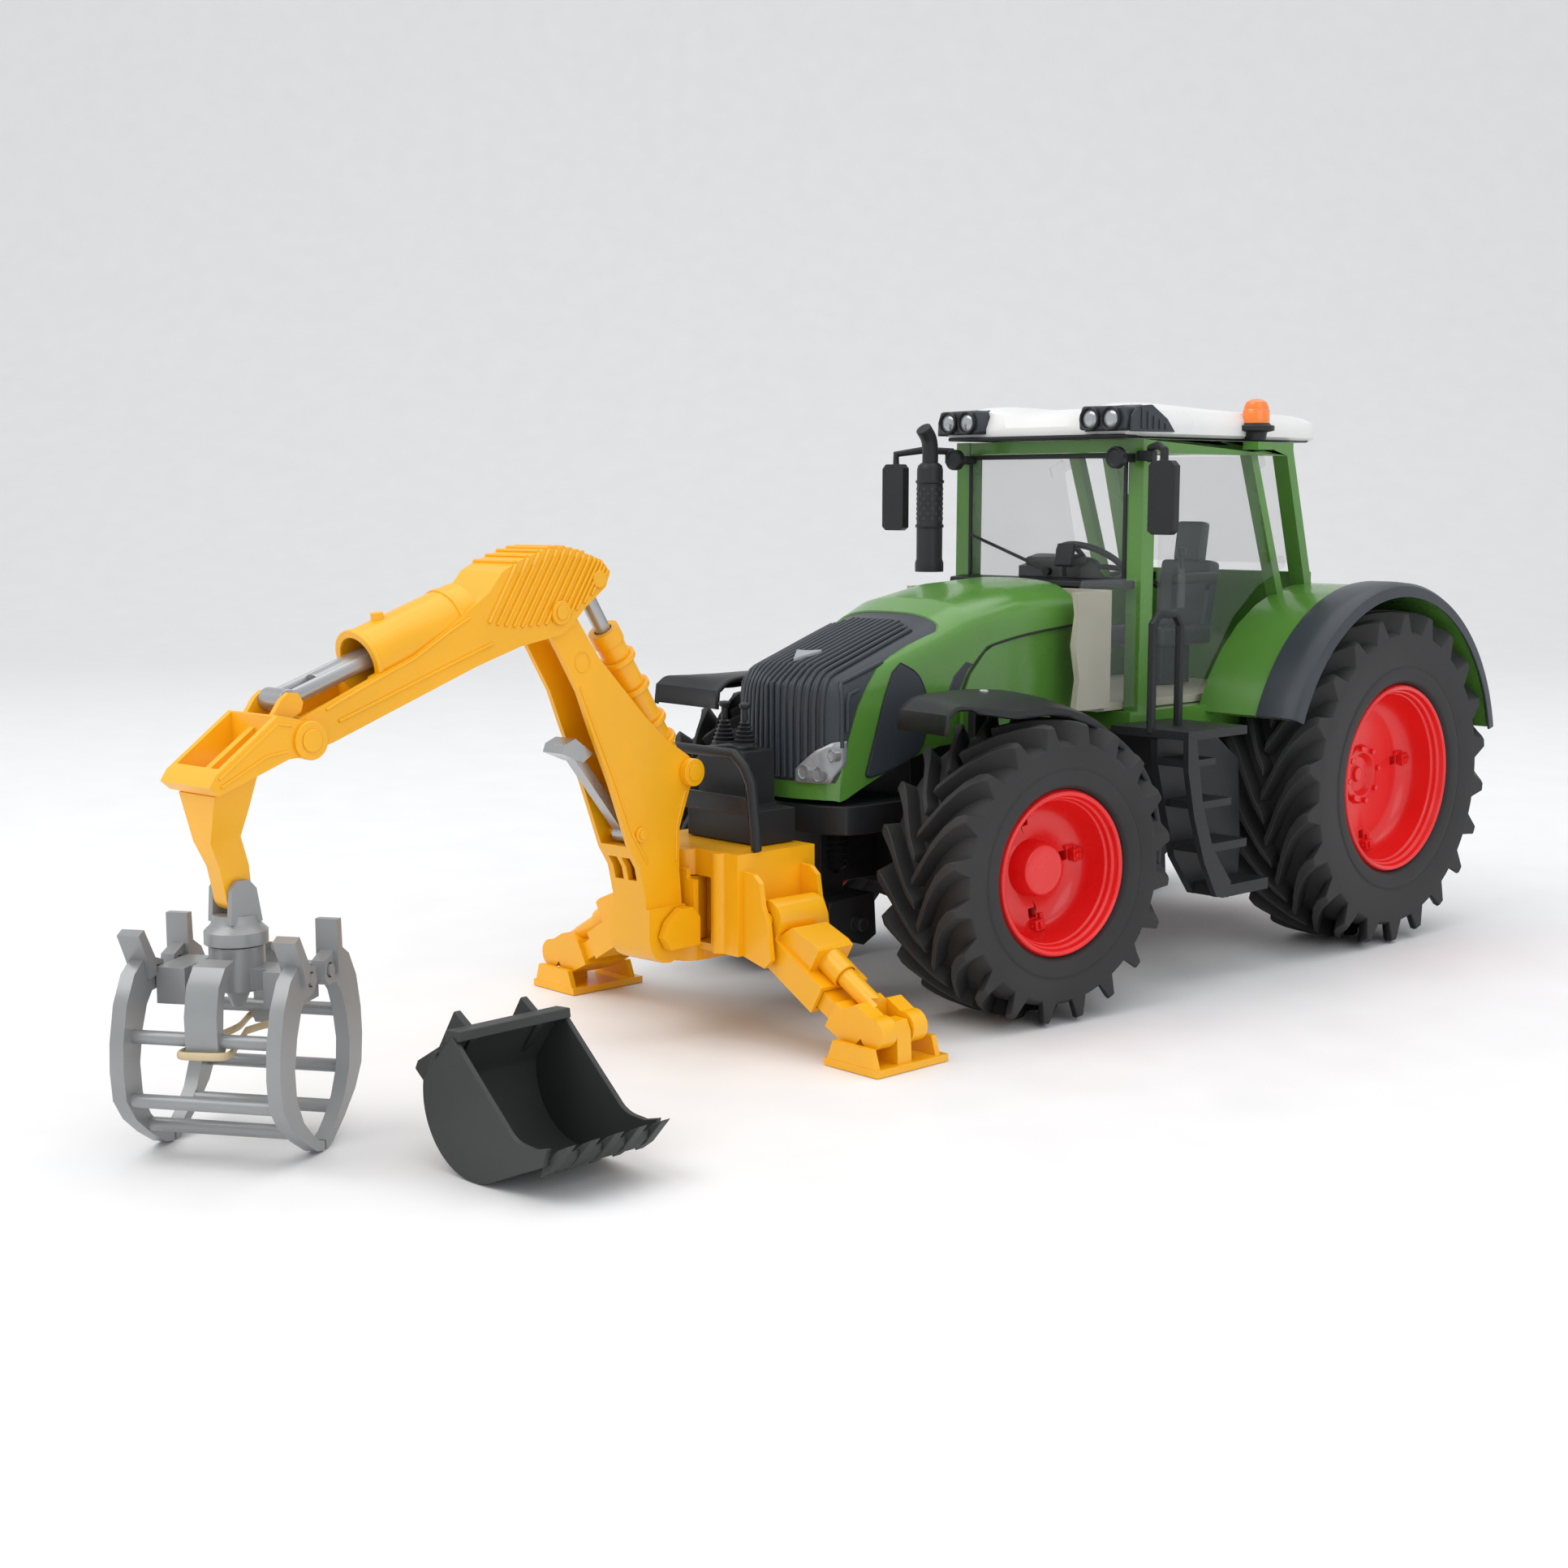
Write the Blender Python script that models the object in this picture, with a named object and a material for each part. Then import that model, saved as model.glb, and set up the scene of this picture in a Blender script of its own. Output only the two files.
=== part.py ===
"""Toy backhoe loader: a 1:16 farm tractor with a folding digging arm on its nose.

Frame: +Z up, the tractor's nose points along -Y and its left side is +X.
The origin lies on the floor under the middle of the whole object.
All sizes below are in millimetres; MM turns them into metres.
Run with: blender --background --python part.py
"""
import math

import bmesh
import bpy
from mathutils import Matrix, Vector

MM = 0.001
GAP = 0.35

# ---- driving dimensions: tractor -------------------------------------------------
WHEELBASE = 190.7
REAR_R = 64.45
REAR_RIM_R = 36.5
REAR_WHEEL_X = 65.2
REAR_WHEEL_W = 38.6
FRONT_R = 50.15
FRONT_RIM_R = 28.0
FRONT_WHEEL_X = 62.2
FRONT_WHEEL_W = 38.0
KINGPIN_X = 40.0
STEER_REST_DEG = -6.2
STEER_ARM = 13.2
CAB_HALF_W = 44.7
DECK_Z = 95.0
ROOF_Z = 192.5
A_PILLAR_Y = -109.0
HOOD_REAR_Y = -134.0
HOOD_HINGE = (0.0, -136.5, 138.0)
FENDER_R = 71.0
FENDER_CENTRE = (-4.0, 65.0)
FRONT_FENDER_R = 57.8
STEERING_WHEEL = (0.0, -85.0, 147.0)
STEERING_TILT_DEG = -32.0

# ---- driving dimensions: digging arm (s = reach forward of the slewing pin) -------
SLEW_Y = -288.0
SLEW_REST_DEG = 5.0
BOOM_PIVOT = (17.5, 34.5)
STICK_PIVOT = (62.3, 138.2)
LINK_PIVOT = (153.0, 108.3)
RAM_EYE = (154.5, 118.4)
CYLINDER_FOOT = (6.3, 85.6)
CYLINDER_HEAD = (46.5, 147.6)
STAY_PIVOT = (28.0, 68.0)
GRAPPLE_S = 170.0
HEAD_S = 170.6
HEAD_PIVOT_Z = 68.0
GRAPPLE_TURN_DEG = 30.0
JAW_PIVOT = (6.0, 47.5)
BOOM_W = 7.3
STICK_W = 9.3
LINK_W = 11.3

# ---- driving dimensions: outriggers and bucket -------------------------------------
LEG_Y = -272.5
LEVER_Y = -263.6
LEG_PIVOT = (34.0, 40.5)
LEG_ANGLE_DEG = 29.5
FOOT_PIVOT = (79.5, 12.0)
BUCKET_PLACE = (87.6, -431.2)
BUCKET_TURN_DEG = 3.0
BUCKET_W = 38.0


def clear_scene():
    for obj in list(bpy.data.objects):
        bpy.data.objects.remove(obj, do_unlink=True)


def material(name, rgb, roughness, metallic=0.0, alpha=1.0):
    mat = bpy.data.materials.new(name)
    mat.use_nodes = True
    shader = mat.node_tree.nodes["Principled BSDF"]
    shader.inputs["Base Color"].default_value = (*rgb, 1.0)
    shader.inputs["Roughness"].default_value = roughness
    shader.inputs["Metallic"].default_value = metallic
    shader.inputs["Alpha"].default_value = alpha
    mat.diffuse_color = (*rgb, 1.0)
    return mat


# ---- solids, all in millimetres -----------------------------------------------------
def box(x0, x1, y0, y1, z0, z1):
    bm = bmesh.new()
    bmesh.ops.create_cube(bm, size=1.0)
    for v in bm.verts:
        v.co.x = x0 if v.co.x < 0 else x1
        v.co.y = y0 if v.co.y < 0 else y1
        v.co.z = z0 if v.co.z < 0 else z1
    return bm


def prism(outline, lo, hi, axis="X"):
    """Extrude a closed outline of (a, b) points between lo and hi along an axis.

    axis X takes (y, z) points, axis Y takes (x, z) points and axis Z takes (x, y) points.
    """
    bm = bmesh.new()
    place = {
        "X": lambda a, b, t: (t, a, b),
        "Y": lambda a, b, t: (a, t, b),
        "Z": lambda a, b, t: (a, b, t),
    }[axis]
    low = [bm.verts.new(place(a, b, lo)) for a, b in outline]
    high = [bm.verts.new(place(a, b, hi)) for a, b in outline]
    bm.faces.new(low)
    bm.faces.new(high)
    count = len(outline)
    for i in range(count):
        j = (i + 1) % count
        bm.faces.new((low[i], low[j], high[j], high[i]))
    bmesh.ops.recalc_face_normals(bm, faces=bm.faces)
    return bm


def lathe(profile, segments, axis="X", centre=(0.0, 0.0, 0.0)):
    """Turn a closed profile of (along, radius) points about an axis through centre."""
    bm = bmesh.new()
    rings = []
    for k in range(segments):
        turn = 2.0 * math.pi * (k + 0.5) / segments
        c, s = math.cos(turn), math.sin(turn)
        ring = []
        for along, radius in profile:
            point = {
                "X": (along, radius * c, radius * s),
                "Y": (radius * c, along, radius * s),
                "Z": (radius * c, radius * s, along),
            }[axis]
            ring.append(bm.verts.new(Vector(point) + Vector(centre)))
        rings.append(ring)
    count = len(profile)
    for k in range(segments):
        here, there = rings[k], rings[(k + 1) % segments]
        for i in range(count):
            j = (i + 1) % count
            if max(profile[i][1], profile[j][1]) > 0.0:
                bm.faces.new((here[i], here[j], there[j], there[i]))
    bmesh.ops.remove_doubles(bm, verts=bm.verts, dist=1e-4)
    bmesh.ops.dissolve_degenerate(bm, dist=1e-5, edges=bm.edges)
    bmesh.ops.recalc_face_normals(bm, faces=bm.faces)
    return bm


def rod(start, end, radius, sides=12):
    """A round bar between two points."""
    start, end = Vector(start), Vector(end)
    length = (end - start).length
    bm = bmesh.new()
    bmesh.ops.create_cone(
        bm, cap_ends=True, segments=sides, radius1=radius, radius2=radius, depth=length
    )
    turn = Vector((0, 0, 1)).rotation_difference(end - start).to_matrix().to_4x4()
    bmesh.ops.transform(bm, matrix=Matrix.Translation((start + end) / 2) @ turn, verts=bm.verts)
    return bm


def bar(start, end, width, height, side=(1.0, 0.0, 0.0)):
    """A square bar between two points, its width measured along side."""
    start, end, side = Vector(start), Vector(end), Vector(side)
    along = (end - start).normalized()
    up = along.cross(side).normalized()
    bm = bmesh.new()
    corners = [(-1, -1), (1, -1), (1, 1), (-1, 1)]
    ends = []
    for point in (start, end):
        ends.append([
            bm.verts.new(point + side * (a * width / 2) + up * (b * height / 2)) for a, b in corners
        ])
    bm.faces.new(ends[0])
    bm.faces.new(ends[1])
    for i in range(4):
        j = (i + 1) % 4
        bm.faces.new((ends[0][i], ends[0][j], ends[1][j], ends[1][i]))
    bmesh.ops.recalc_face_normals(bm, faces=bm.faces)
    return bm


def tube(path, radius, sides=8):
    """A round tube with flat caps along a path of points."""
    points = [Vector(p) for p in path]
    bm = bmesh.new()
    rings = []
    normal = None
    for i, point in enumerate(points):
        before = points[max(i - 1, 0)]
        after = points[min(i + 1, len(points) - 1)]
        tangent = (after - before).normalized()
        if normal is None:
            guess = Vector((0, 0, 1)) if abs(tangent.z) < 0.9 else Vector((1, 0, 0))
            normal = tangent.cross(guess).normalized()
        else:
            normal = (normal - tangent * normal.dot(tangent)).normalized()
        other = tangent.cross(normal)
        rings.append([
            bm.verts.new(
                point
                + normal * (radius * math.cos(2 * math.pi * k / sides))
                + other * (radius * math.sin(2 * math.pi * k / sides))
            )
            for k in range(sides)
        ])
    for here, there in zip(rings, rings[1:]):
        for k in range(sides):
            j = (k + 1) % sides
            bm.faces.new((here[k], here[j], there[j], there[k]))
    bm.faces.new(rings[0])
    bm.faces.new(rings[-1])
    bmesh.ops.recalc_face_normals(bm, faces=bm.faces)
    return bm


def loft(sections):
    """Skin closed rings of equal length; each ring is a list of (x, y, z) points."""
    bm = bmesh.new()
    rings = [[bm.verts.new(p) for p in section] for section in sections]
    count = len(rings[0])
    for here, there in zip(rings, rings[1:]):
        for i in range(count):
            j = (i + 1) % count
            bm.faces.new((here[i], here[j], there[j], there[i]))
    bm.faces.new(rings[0])
    bm.faces.new(rings[-1])
    bmesh.ops.recalc_face_normals(bm, faces=bm.faces)
    return bm


def arc(centre, radius, start_deg, end_deg, steps):
    """Points (a, b) on an arc, from start to end."""
    points = []
    for k in range(steps + 1):
        turn = math.radians(start_deg + (end_deg - start_deg) * k / steps)
        points.append((centre[0] + radius * math.cos(turn), centre[1] + radius * math.sin(turn)))
    return points


def scratch_object(bm):
    mesh = bpy.data.meshes.new("scratch")
    bm.to_mesh(mesh)
    bm.free()
    obj = bpy.data.objects.new("scratch", mesh)
    bpy.context.scene.collection.objects.link(obj)
    return obj


def combine(solids, cuts=()):
    """Boolean union of the solids, less the cuts, as one bmesh."""
    base = scratch_object(solids[0])
    helpers = []
    for bm, operation in [(b, "UNION") for b in solids[1:]] + [(b, "DIFFERENCE") for b in cuts]:
        helper = scratch_object(bm)
        modifier = base.modifiers.new("bool", "BOOLEAN")
        modifier.object = helper
        modifier.operation = operation
        modifier.solver = "EXACT"
        helpers.append(helper)
    graph = bpy.context.evaluated_depsgraph_get()
    mesh = bpy.data.meshes.new_from_object(base.evaluated_get(graph))
    result = bmesh.new()
    result.from_mesh(mesh)
    bmesh.ops.remove_doubles(result, verts=result.verts, dist=1e-3)
    bmesh.ops.dissolve_degenerate(result, dist=1e-4, edges=result.edges)
    for obj in [base] + helpers:
        bpy.data.objects.remove(obj, do_unlink=True)
    return result


def mirrored(bm):
    """The same solid on the tractor's other side."""
    copy = bm.copy()
    for v in copy.verts:
        v.co.x = -v.co.x
    bmesh.ops.reverse_faces(copy, faces=copy.faces)
    return copy


# ---- placing ---------------------------------------------------------------------------
def empty(name, parent, place, turn_deg=(0.0, 0.0, 0.0)):
    """A joint's own frame, its origin on the joint's axis."""
    obj = bpy.data.objects.new(name, None)
    bpy.context.scene.collection.objects.link(obj)
    obj.parent = parent
    obj.location = Vector(place) * MM
    obj.rotation_euler = [math.radians(a) for a in turn_deg]
    return obj


def node(name, bm, mat, parent, pivot=(0.0, 0.0, 0.0), smooth_deg=35.0):
    """One named solid; its origin is the pivot, in the parent's frame."""
    for v in bm.verts:
        v.co = (v.co - Vector(pivot)) * MM
    mesh = bpy.data.meshes.new(name)
    bm.to_mesh(mesh)
    bm.free()
    mesh.materials.append(mat)
    mesh.shade_smooth()
    mesh.set_sharp_from_angle(angle=math.radians(smooth_deg))
    obj = bpy.data.objects.new(name, mesh)
    bpy.context.scene.collection.objects.link(obj)
    obj.parent = parent
    obj.location = Vector(pivot) * MM
    return obj


def forward(points):
    """Turn (reach, height) points of the arm into (y, z) points of its own frame."""
    return [(-s, z) for s, z in points]


def at_reach(lateral, reach_height):
    return (lateral, -reach_height[0], reach_height[1])


# ---- tractor: frame, axles and wheels ------------------------------------------------
def chassis_solid():
    y_axle = -WHEELBASE
    spine = box(-15, 15, -209.6, 18, 40, 66)
    engine = box(-20, 20, -205, -118, 59.9, 91.6)
    gearbox = box(-22, 22, -119, 16, 45, 87.8)
    housing = rod((-40.5, 0, REAR_R), (40.5, 0, REAR_R), 11.5, 20)
    stubs = rod((-57, 0, REAR_R), (57, 0, REAR_R), 4.0, 16)
    hitch = box(-12, 12, 15, 34, 42, 50)
    relief = box(-21, 21, y_axle - 16.3, y_axle + 19.7, 30, 59.5)
    king = rod((0, y_axle - 18.5, 50.15), (0, y_axle + 22, 50.15), 2.6, 12)
    tow_hole = rod((0, 29, 38), (0, 29, 54), 2.2, 12)
    body = combine([spine, engine, gearbox, housing, stubs, hitch], [relief, tow_hole])
    return combine([body, king])


def linkage_solid():
    bumper_half = [(18, -247.5), (26.5, -242), (28.3, -237), (28.3, -213), (24, -210)]
    bumper = prism(bumper_half + [(-x, y) for x, y in reversed(bumper_half)], 61.6, 71.2, "Z")
    leg = box(-9, 9, -237, -226, 34, 63)
    lower = prism([(-246, 28), (-243, 38.5), (-222, 39.5), (-221, 25), (-227, 22)], -20, 20)
    pins = rod((-24, -231, 30), (24, -231, 30), 2.3, 12)
    brace = box(-8, 8, -230, -210, 42, 60)
    return combine([bumper, leg, lower, pins, brace])


def axle_solid():
    y_axle = -WHEELBASE
    beam = box(-34, 34, y_axle - 6, y_axle + 6, 44.5, 55.5)
    ends = box(-43.6, 43.6, y_axle - 4, y_axle + 4, 47.2, 53.2)
    pivot_hole = rod((0, y_axle - 9, 50.15), (0, y_axle + 9, 50.15), 3.0, 12)
    pins = [rod((x, y_axle, 41.5), (x, y_axle, 58.8), 2.4, 12) for x in (-KINGPIN_X, KINGPIN_X)]
    body = combine([beam, ends], [pivot_hole])
    return combine([body] + pins)


def knuckle_solid():
    y_axle = -WHEELBASE
    plate = box(45, 48.5, y_axle - 5, y_axle + 5, 42.3, 58)
    upper = box(35.5, 46, y_axle - 4.5, y_axle + 4.5, 53.6, 58)
    lower = box(35.5, 46, y_axle - 4.5, y_axle + 4.5, 42.3, 46.8)
    stub = rod((47, y_axle, 50.15), (59.5, y_axle, 50.15), 3.3, 14)
    arm = box(36, 40.5, y_axle - 4, y_axle + STEER_ARM + 3.3, 39.4, 42.7)
    arm_pin = rod((38.2, y_axle + STEER_ARM, 41), (38.2, y_axle + STEER_ARM, 47.4), 1.3, 10)
    hole = rod((KINGPIN_X, y_axle, 38), (KINGPIN_X, y_axle, 60), 2.8, 12)
    body = combine([plate, upper, lower, arm], [hole])
    return combine([body, stub, arm_pin])


def tie_rod_solid():
    y_rod = -WHEELBASE + STEER_ARM
    shift = -STEER_ARM * math.sin(math.radians(STEER_REST_DEG))
    bar_body = box(shift - 42, shift + 42, y_rod - 4.2, y_rod + 4.2, 43.1, 46.2)
    slots = []
    for x in (shift - 38.2, shift + 38.2):
        slots.append(box(x - 2.0, x + 2.0, y_rod - 3.1, y_rod + 3.1, 42, 48))
    return combine([bar_body], slots)


def rim_profile(inner, outer, radius, disc, hub_radius, hub_end, bore, bore_end):
    """Closed (x, radius) profile of a dished wheel with a blind bore on its inner side."""
    wall = 2.6
    return [
        (hub_end, 0.0),
        (hub_end, hub_radius * 0.8),
        (hub_end - 1.5, hub_radius),
        (disc, hub_radius + 1.0),
        (disc, radius - wall - 5.0),
        (disc + 3.0, radius - wall - 2.0),
        (outer, radius - wall + 1.0),
        (outer, radius),
        (inner, radius),
        (inner, radius - wall),
        (disc - 4.0, radius - wall - 0.6),
        (disc - 4.0, hub_radius),
        (bore_end, hub_radius - 1.0),
        (bore_end, bore),
        (disc - 2.0, bore),
        (disc - 2.0, 0.0),
    ]


def tyre_profile(inner, outer, bore, radius, shoulder):
    """Closed (x, radius) profile of a hollow tyre, open towards its rim."""
    wall = 3.2
    crown = 4.6
    return [
        (inner + 2.0, bore),
        (inner, bore + 5.0),
        (inner, radius - shoulder),
        (inner + shoulder * 0.6, radius),
        (outer - shoulder * 0.6, radius),
        (outer, radius - shoulder),
        (outer, bore + 5.0),
        (outer - 2.0, bore),
        (outer - wall - 2.0, bore),
        (outer - wall - 1.0, radius - shoulder - crown),
        (inner + wall + 1.0, radius - shoulder - crown),
        (inner + wall + 2.0, bore),
    ]


def wheel_solids(centre_x, width, radius, rim_radius, y, z, disc, hub_radius, hub_end, bore):
    inner, outer = centre_x - width / 2, centre_x + width / 2
    tyre_sides = 28
    flat_radius = radius / math.cos(math.pi / tyre_sides)
    rim = lathe(
        rim_profile(inner + 2, outer - 1.5, rim_radius, disc, hub_radius, hub_end, bore, disc - 11),
        20, "X", (0, y, z),
    )
    tyre = lathe(
        tyre_profile(inner, outer, rim_radius + GAP, flat_radius, 6.0), tyre_sides, "X", (0, y, z)
    )
    return rim, tyre


# ---- tractor: cab -----------------------------------------------------------------------
def fender_wall_outline():
    """Side view of the rear fender's inner wall, under its arch."""
    return arc(FENDER_CENTRE, FENDER_R + 2.2, 158, 12, 14) + [(50, 84), (-62, 84)]


def cab_body_solid():
    half = CAB_HALF_W
    solids = [box(-half, half, -117, -1, 88.3, DECK_Z)]
    for side in (-1, 1):
        edge = side * (half - 3.3)
        band = arc(FENDER_CENTRE, FENDER_R + 2.2, 158, 12, 14)
        band += arc(FENDER_CENTRE, FENDER_R - 0.4, 12, 158, 14)
        lo, hi = sorted((side * (half - 1.6), side * 83.6))
        solids.append(prism(band, lo, hi))
        lo, hi = sorted((side * (half - 3.6), side * (half - 0.2)))
        solids.append(prism(fender_wall_outline(), lo, hi))
        solids.append(bar((edge, -109.2, 90), (edge, -108.6, 189), 6.6, 7.0))
        solids.append(bar((edge, -45.0, 190), (edge, -24.0, 134), 5.0, 4.0))
        solids.append(bar((edge, -22.0, 190), (edge, -6.2, 136), 6.6, 4.6))
        lo, hi = sorted((side * (half - 6.6), side * half))
        solids.append(box(lo, hi, -112.5, -19.5, 187.2, ROOF_Z - GAP))
    solids.append(box(-half + 1, half - 1, -112.2, -105.4, 187.7, ROOF_Z - GAP - 0.1))
    solids.append(box(-half + 1, half - 1, -25.0, -19.9, 188.3, ROOF_Z - GAP - 0.1))
    solids.append(box(-half + 1, half - 1, -7.5, -3.3, 90, 142.6))
    solids.append(box(40, 51.5, -52.5, -43.5, 189.2, ROOF_Z - GAP - 0.05))
    return combine(solids)


def cab_floor_solid():
    slab = box(-37.5, 37.5, -127, -10, DECK_Z + GAP, 98.2)
    firewall = box(-41, 41, -127.2, -124, 96.2, 139)
    solids = [slab, firewall]
    for side in (-1, 1):
        lo, hi = sorted((side * 38.6, side * 41.2))
        wave = [(-143.5, 97), (-141.5, 108), (-144, 120), (-142, 131), (-143.5, 138.6)]
        solids.append(prism(wave + [(-124.3, 138.6), (-124.3, 97)], lo, hi))
    return combine(solids)


def roof_solid():
    full = [
        (-108.5, ROOF_Z), (-118, 194.2), (-122.5, 198), (-123, 203.2), (-118, 205.2),
        (-100, 204.8), (-60, 206.2), (-25, 206.0), (-7, 203.2), (-2.5, 198.8), (-7, ROOF_Z),
    ]
    sections = []
    for x, pull in ((-45.3, 0.55), (-43.5, 0.85), (-40, 1.0), (40, 1.0), (43.5, 0.85), (45.3, 0.55)):
        ring = []
        for y, z in full:
            ring.append((x, -62 + (y + 62) * (0.94 + 0.06 * pull), ROOF_Z + (z - ROOF_Z) * pull))
        sections.append(ring)
    pockets = [box(x - 10.3, x + 10.3, -126, -118.2, 195.2, 202.6) for x in (-34, 34)]
    notch = rod((47, -48, 180), (47, -48, 215), 7.3, 20)
    return combine([loft(sections)], pockets + [notch])


def beacon_solid():
    profile = [(ROOF_Z, 0), (ROOF_Z, 3.8), (196, 3.8), (196, 6.7), (198, 6.7), (198, 4.95)]
    profile += [(205, 4.95), (207.2, 3.4), (208, 1.6), (208, 0)]
    return lathe(profile, 20, "Z", (47, -48, 0))


def windscreen_solid():
    pane = box(-37.6, 37.6, -112.4, -110.8, 141.5, 187.2)
    shelf = box(-37.2, 37.2, -116.2, -111, 141.3, 143)
    cowl = box(-44.3, 44.3, -117.4, -113.5, 141.1, 143.2)
    solids = [pane, shelf, cowl]
    for side in (-1, 1):
        lo, hi = sorted((side * 42.6, side * 44.1))
        solids.append(box(lo, hi, -146.5, -113.6, 97, 143.1))
        lo, hi = sorted((side * 35.5, side * 44.0))
        solids.append(box(lo, hi, -146.4, -114.5, 141.6, 143.15))
    return combine(solids)


def seat_solid():
    base = box(-8, 8, -50, -30, 98.2 + GAP, 114)
    cushion = box(-13.5, 13.5, -58, -24, 113, 121.5)
    back = prism([(-30, 119), (-26, 120), (-21, 148), (-26, 149)], -12.5, 12.5)
    head = prism([(-28, 146), (-24.5, 163), (-20.5, 162), (-22, 146)], -6.5, 6.5)
    rests = [box(x - 2, x + 2, -52, -25, 137.5, 142) for x in (-13, 13)]
    return combine([base, cushion, back, head] + rests)


def dashboard_solid():
    pod = prism([(-109.8, 120), (-109.8, 146), (-103, 147.5), (-96, 143), (-97.5, 128)], -15, 15)
    foot = box(-9, 9, -109, -99, 98.2 + GAP, 122)
    tilt = math.radians(-STEERING_TILT_DEG)
    axis = Vector((0, math.sin(tilt), math.cos(tilt)))
    top = Vector(STEERING_WHEEL) - axis * 3.2
    column = rod(top - axis * 26, top, 3.0, 12)
    return combine([pod, foot, column])


def steering_wheel_solid():
    """Built flat about its own axis; the joint's frame tilts it."""
    rim = lathe([(1.2, 12.2), (1.2, 14.2), (-1.2, 14.2), (-1.2, 12.2)], 28, "Z")
    hub = rod((0, 0, -2.6), (0, 0, 1.6), 4.2, 14)
    spokes = [box(-13, 13, -1.5, 1.5, -0.9, 0.9), box(-1.5, 1.5, -13, 0, -0.8, 0.8)]
    return combine([rim, hub] + spokes)


def door_solid():
    outline = [
        (-103.6, 96.6), (-103.6, 187.4), (-48.5, 187.4), (-37.5, 146), (-37.8, 142.6),
        (-59, 127), (-83, 96.6),
    ]
    pane = prism(outline, 45.2, 46.9)
    straps = [
        bar((46.6, -53, 181.2), (46.6, -42.6, 185.4), 2.3, 4.4),
        bar((46.6, -44, 141.0), (46.6, -27.4, 147.4), 2.3, 4.4),
    ]
    handle = box(46, 50.5, -97.5, -94, 132, 146)
    return combine([pane, handle] + straps)


def rear_window_solid():
    return bar((0, -20.9, 187.3), (0, -9.2, 146), 74.0, 1.6)


def mirror_solid():
    arm = tube([(47.4, -111.5, 184), (47.6, -112, 189), (56, -119, 189.6), (64, -126, 188), (64, -126, 178)], 1.5)
    plate = prism(
        [(58.6, 160), (60.4, 158.8), (68, 158.8), (69.8, 160.2), (69.8, 182.4), (68, 184.2),
         (60.2, 184.2), (58.6, 182.6)], -127.8, -124.4, "Y")
    return combine([plate, arm])


def step_solid():
    back = [
        (-127.5, 88), (-95, 88), (-79, 77), (-76.5, 46), (-77.5, 31), (-104, 30.2), (-116, 45),
        (-122, 63), (-127, 79),
    ]
    solids = [prism(back, 62, 65)]
    for y0, y1, z0, z1 in (
        (-127, -111, 78.8, 81.2), (-121, -101, 63.6, 66.2), (-117, -91, 47.6, 50.6), (-104.5, -77, 30.4, 34.6),
    ):
        solids.append(box(64, 78, y0, y1, z0, z1))
    strip = [
        (-128.8, 89.5), (-124, 89), (-119.5, 66), (-113, 49.5), (-101.5, 36), (-103, 30.6), (-110, 31.5),
        (-118, 45), (-124.5, 62), (-128.4, 78),
    ]
    solids.append(prism(strip, 77, 79.2))
    solids.append(box(44.7 + GAP, 79, -128.4, -94, 88.4, 91.4))
    rail = [(62, -112, 90), (62, -112, 127), (62, -115, 131), (62, -124, 131.4), (62, -127.5, 128), (62, -127.5, 90)]
    solids.append(tube(rail, 1.6))
    return combine(solids)


# ---- tractor: nose ----------------------------------------------------------------------
SEAM = [(-190, 104), (-186, 112), (-179, 119), (-175, 121), (-158, 124), (-129.5, 127)]


def engine_cover_solid():
    body = prism([(-190, 92)] + SEAM + [(-129.5, 92)], -30.3, 30.3)
    lower = box(-26, 26, -188, -134, 91.6 + GAP, 93)
    return combine([body, lower])


HOOD_STATIONS = (
    (-246.4, 18.0, 76.0, 109.6), (-236, 21.4, 79.0, 114.2), (-216, 25.0, 84.5, 121.6),
    (-198.6, 27.3, 89.0, 127.6), (-197.4, 27.6, 89.0, 132.6), (-185, 29.0, 89.0, 137.6),
    (-160, 30.6, 89.0, 141.2), (HOOD_REAR_Y, 32.6, 89.0, 142.4),
)


def hood_ring(y, half, low, top, corner):
    """One cross-section of the hood: straight sides, rounded shoulders."""
    ring = [(-half, y, low), (half, y, low), (half, y, top - 2.6 * corner)]
    ring += [(half - 0.35 * corner, y, top - 1.1 * corner), (half - 1.5 * corner, y, top - 0.25 * corner)]
    ring += [(half - 3.5 * corner, y, top)]
    return ring + [(-x, y, z) for x, y, z in reversed(ring[2:])]


def hood_solid():
    outer = loft([hood_ring(y, w, low, top, 4.0) for y, w, low, top in HOOD_STATIONS])
    thick = 2.2
    rings = []
    for y, w, low, top in HOOD_STATIONS[:-1]:
        rings.append(hood_ring(y + thick, w - thick, low - 20, top - thick, 3.6))
    y, w, low, top = HOOD_STATIONS[-1]
    rings.append(hood_ring(y + 8, w - thick, low - 20, top - thick, 3.6))
    below = [(y, z + GAP) for y, z in SEAM]
    seam_cut = prism([(-190 - GAP, 60)] + [(-190 - GAP, 104.2)] + below + [(-110, 128.5), (-110, 60)], -45, 45)
    return combine([outer], [loft(rings), seam_cut])


def grille_solid():
    side = [
        (-252.4, 110.5), (-250.4, 114.2), (-198.9, 131.6), (-198.9, 130.0),
        (-248.4, 112.6), (-248.8, 110.5), (-246.9, 79), (-250, 79),
    ]
    plate = prism(side, -24, 24)
    front = [(-4.4, 76), (4.4, 76), (18.6, 108), (23.6, 140), (-23.6, 140), (-18.6, 108)]
    keep = prism(front, -260, -190, "Y")
    cutter = prism([(-40, 70), (40, 70), (40, 150), (-40, 150)], -262, -188, "Y")
    trim = combine([cutter], [keep])
    return combine([plate], [trim])


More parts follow.
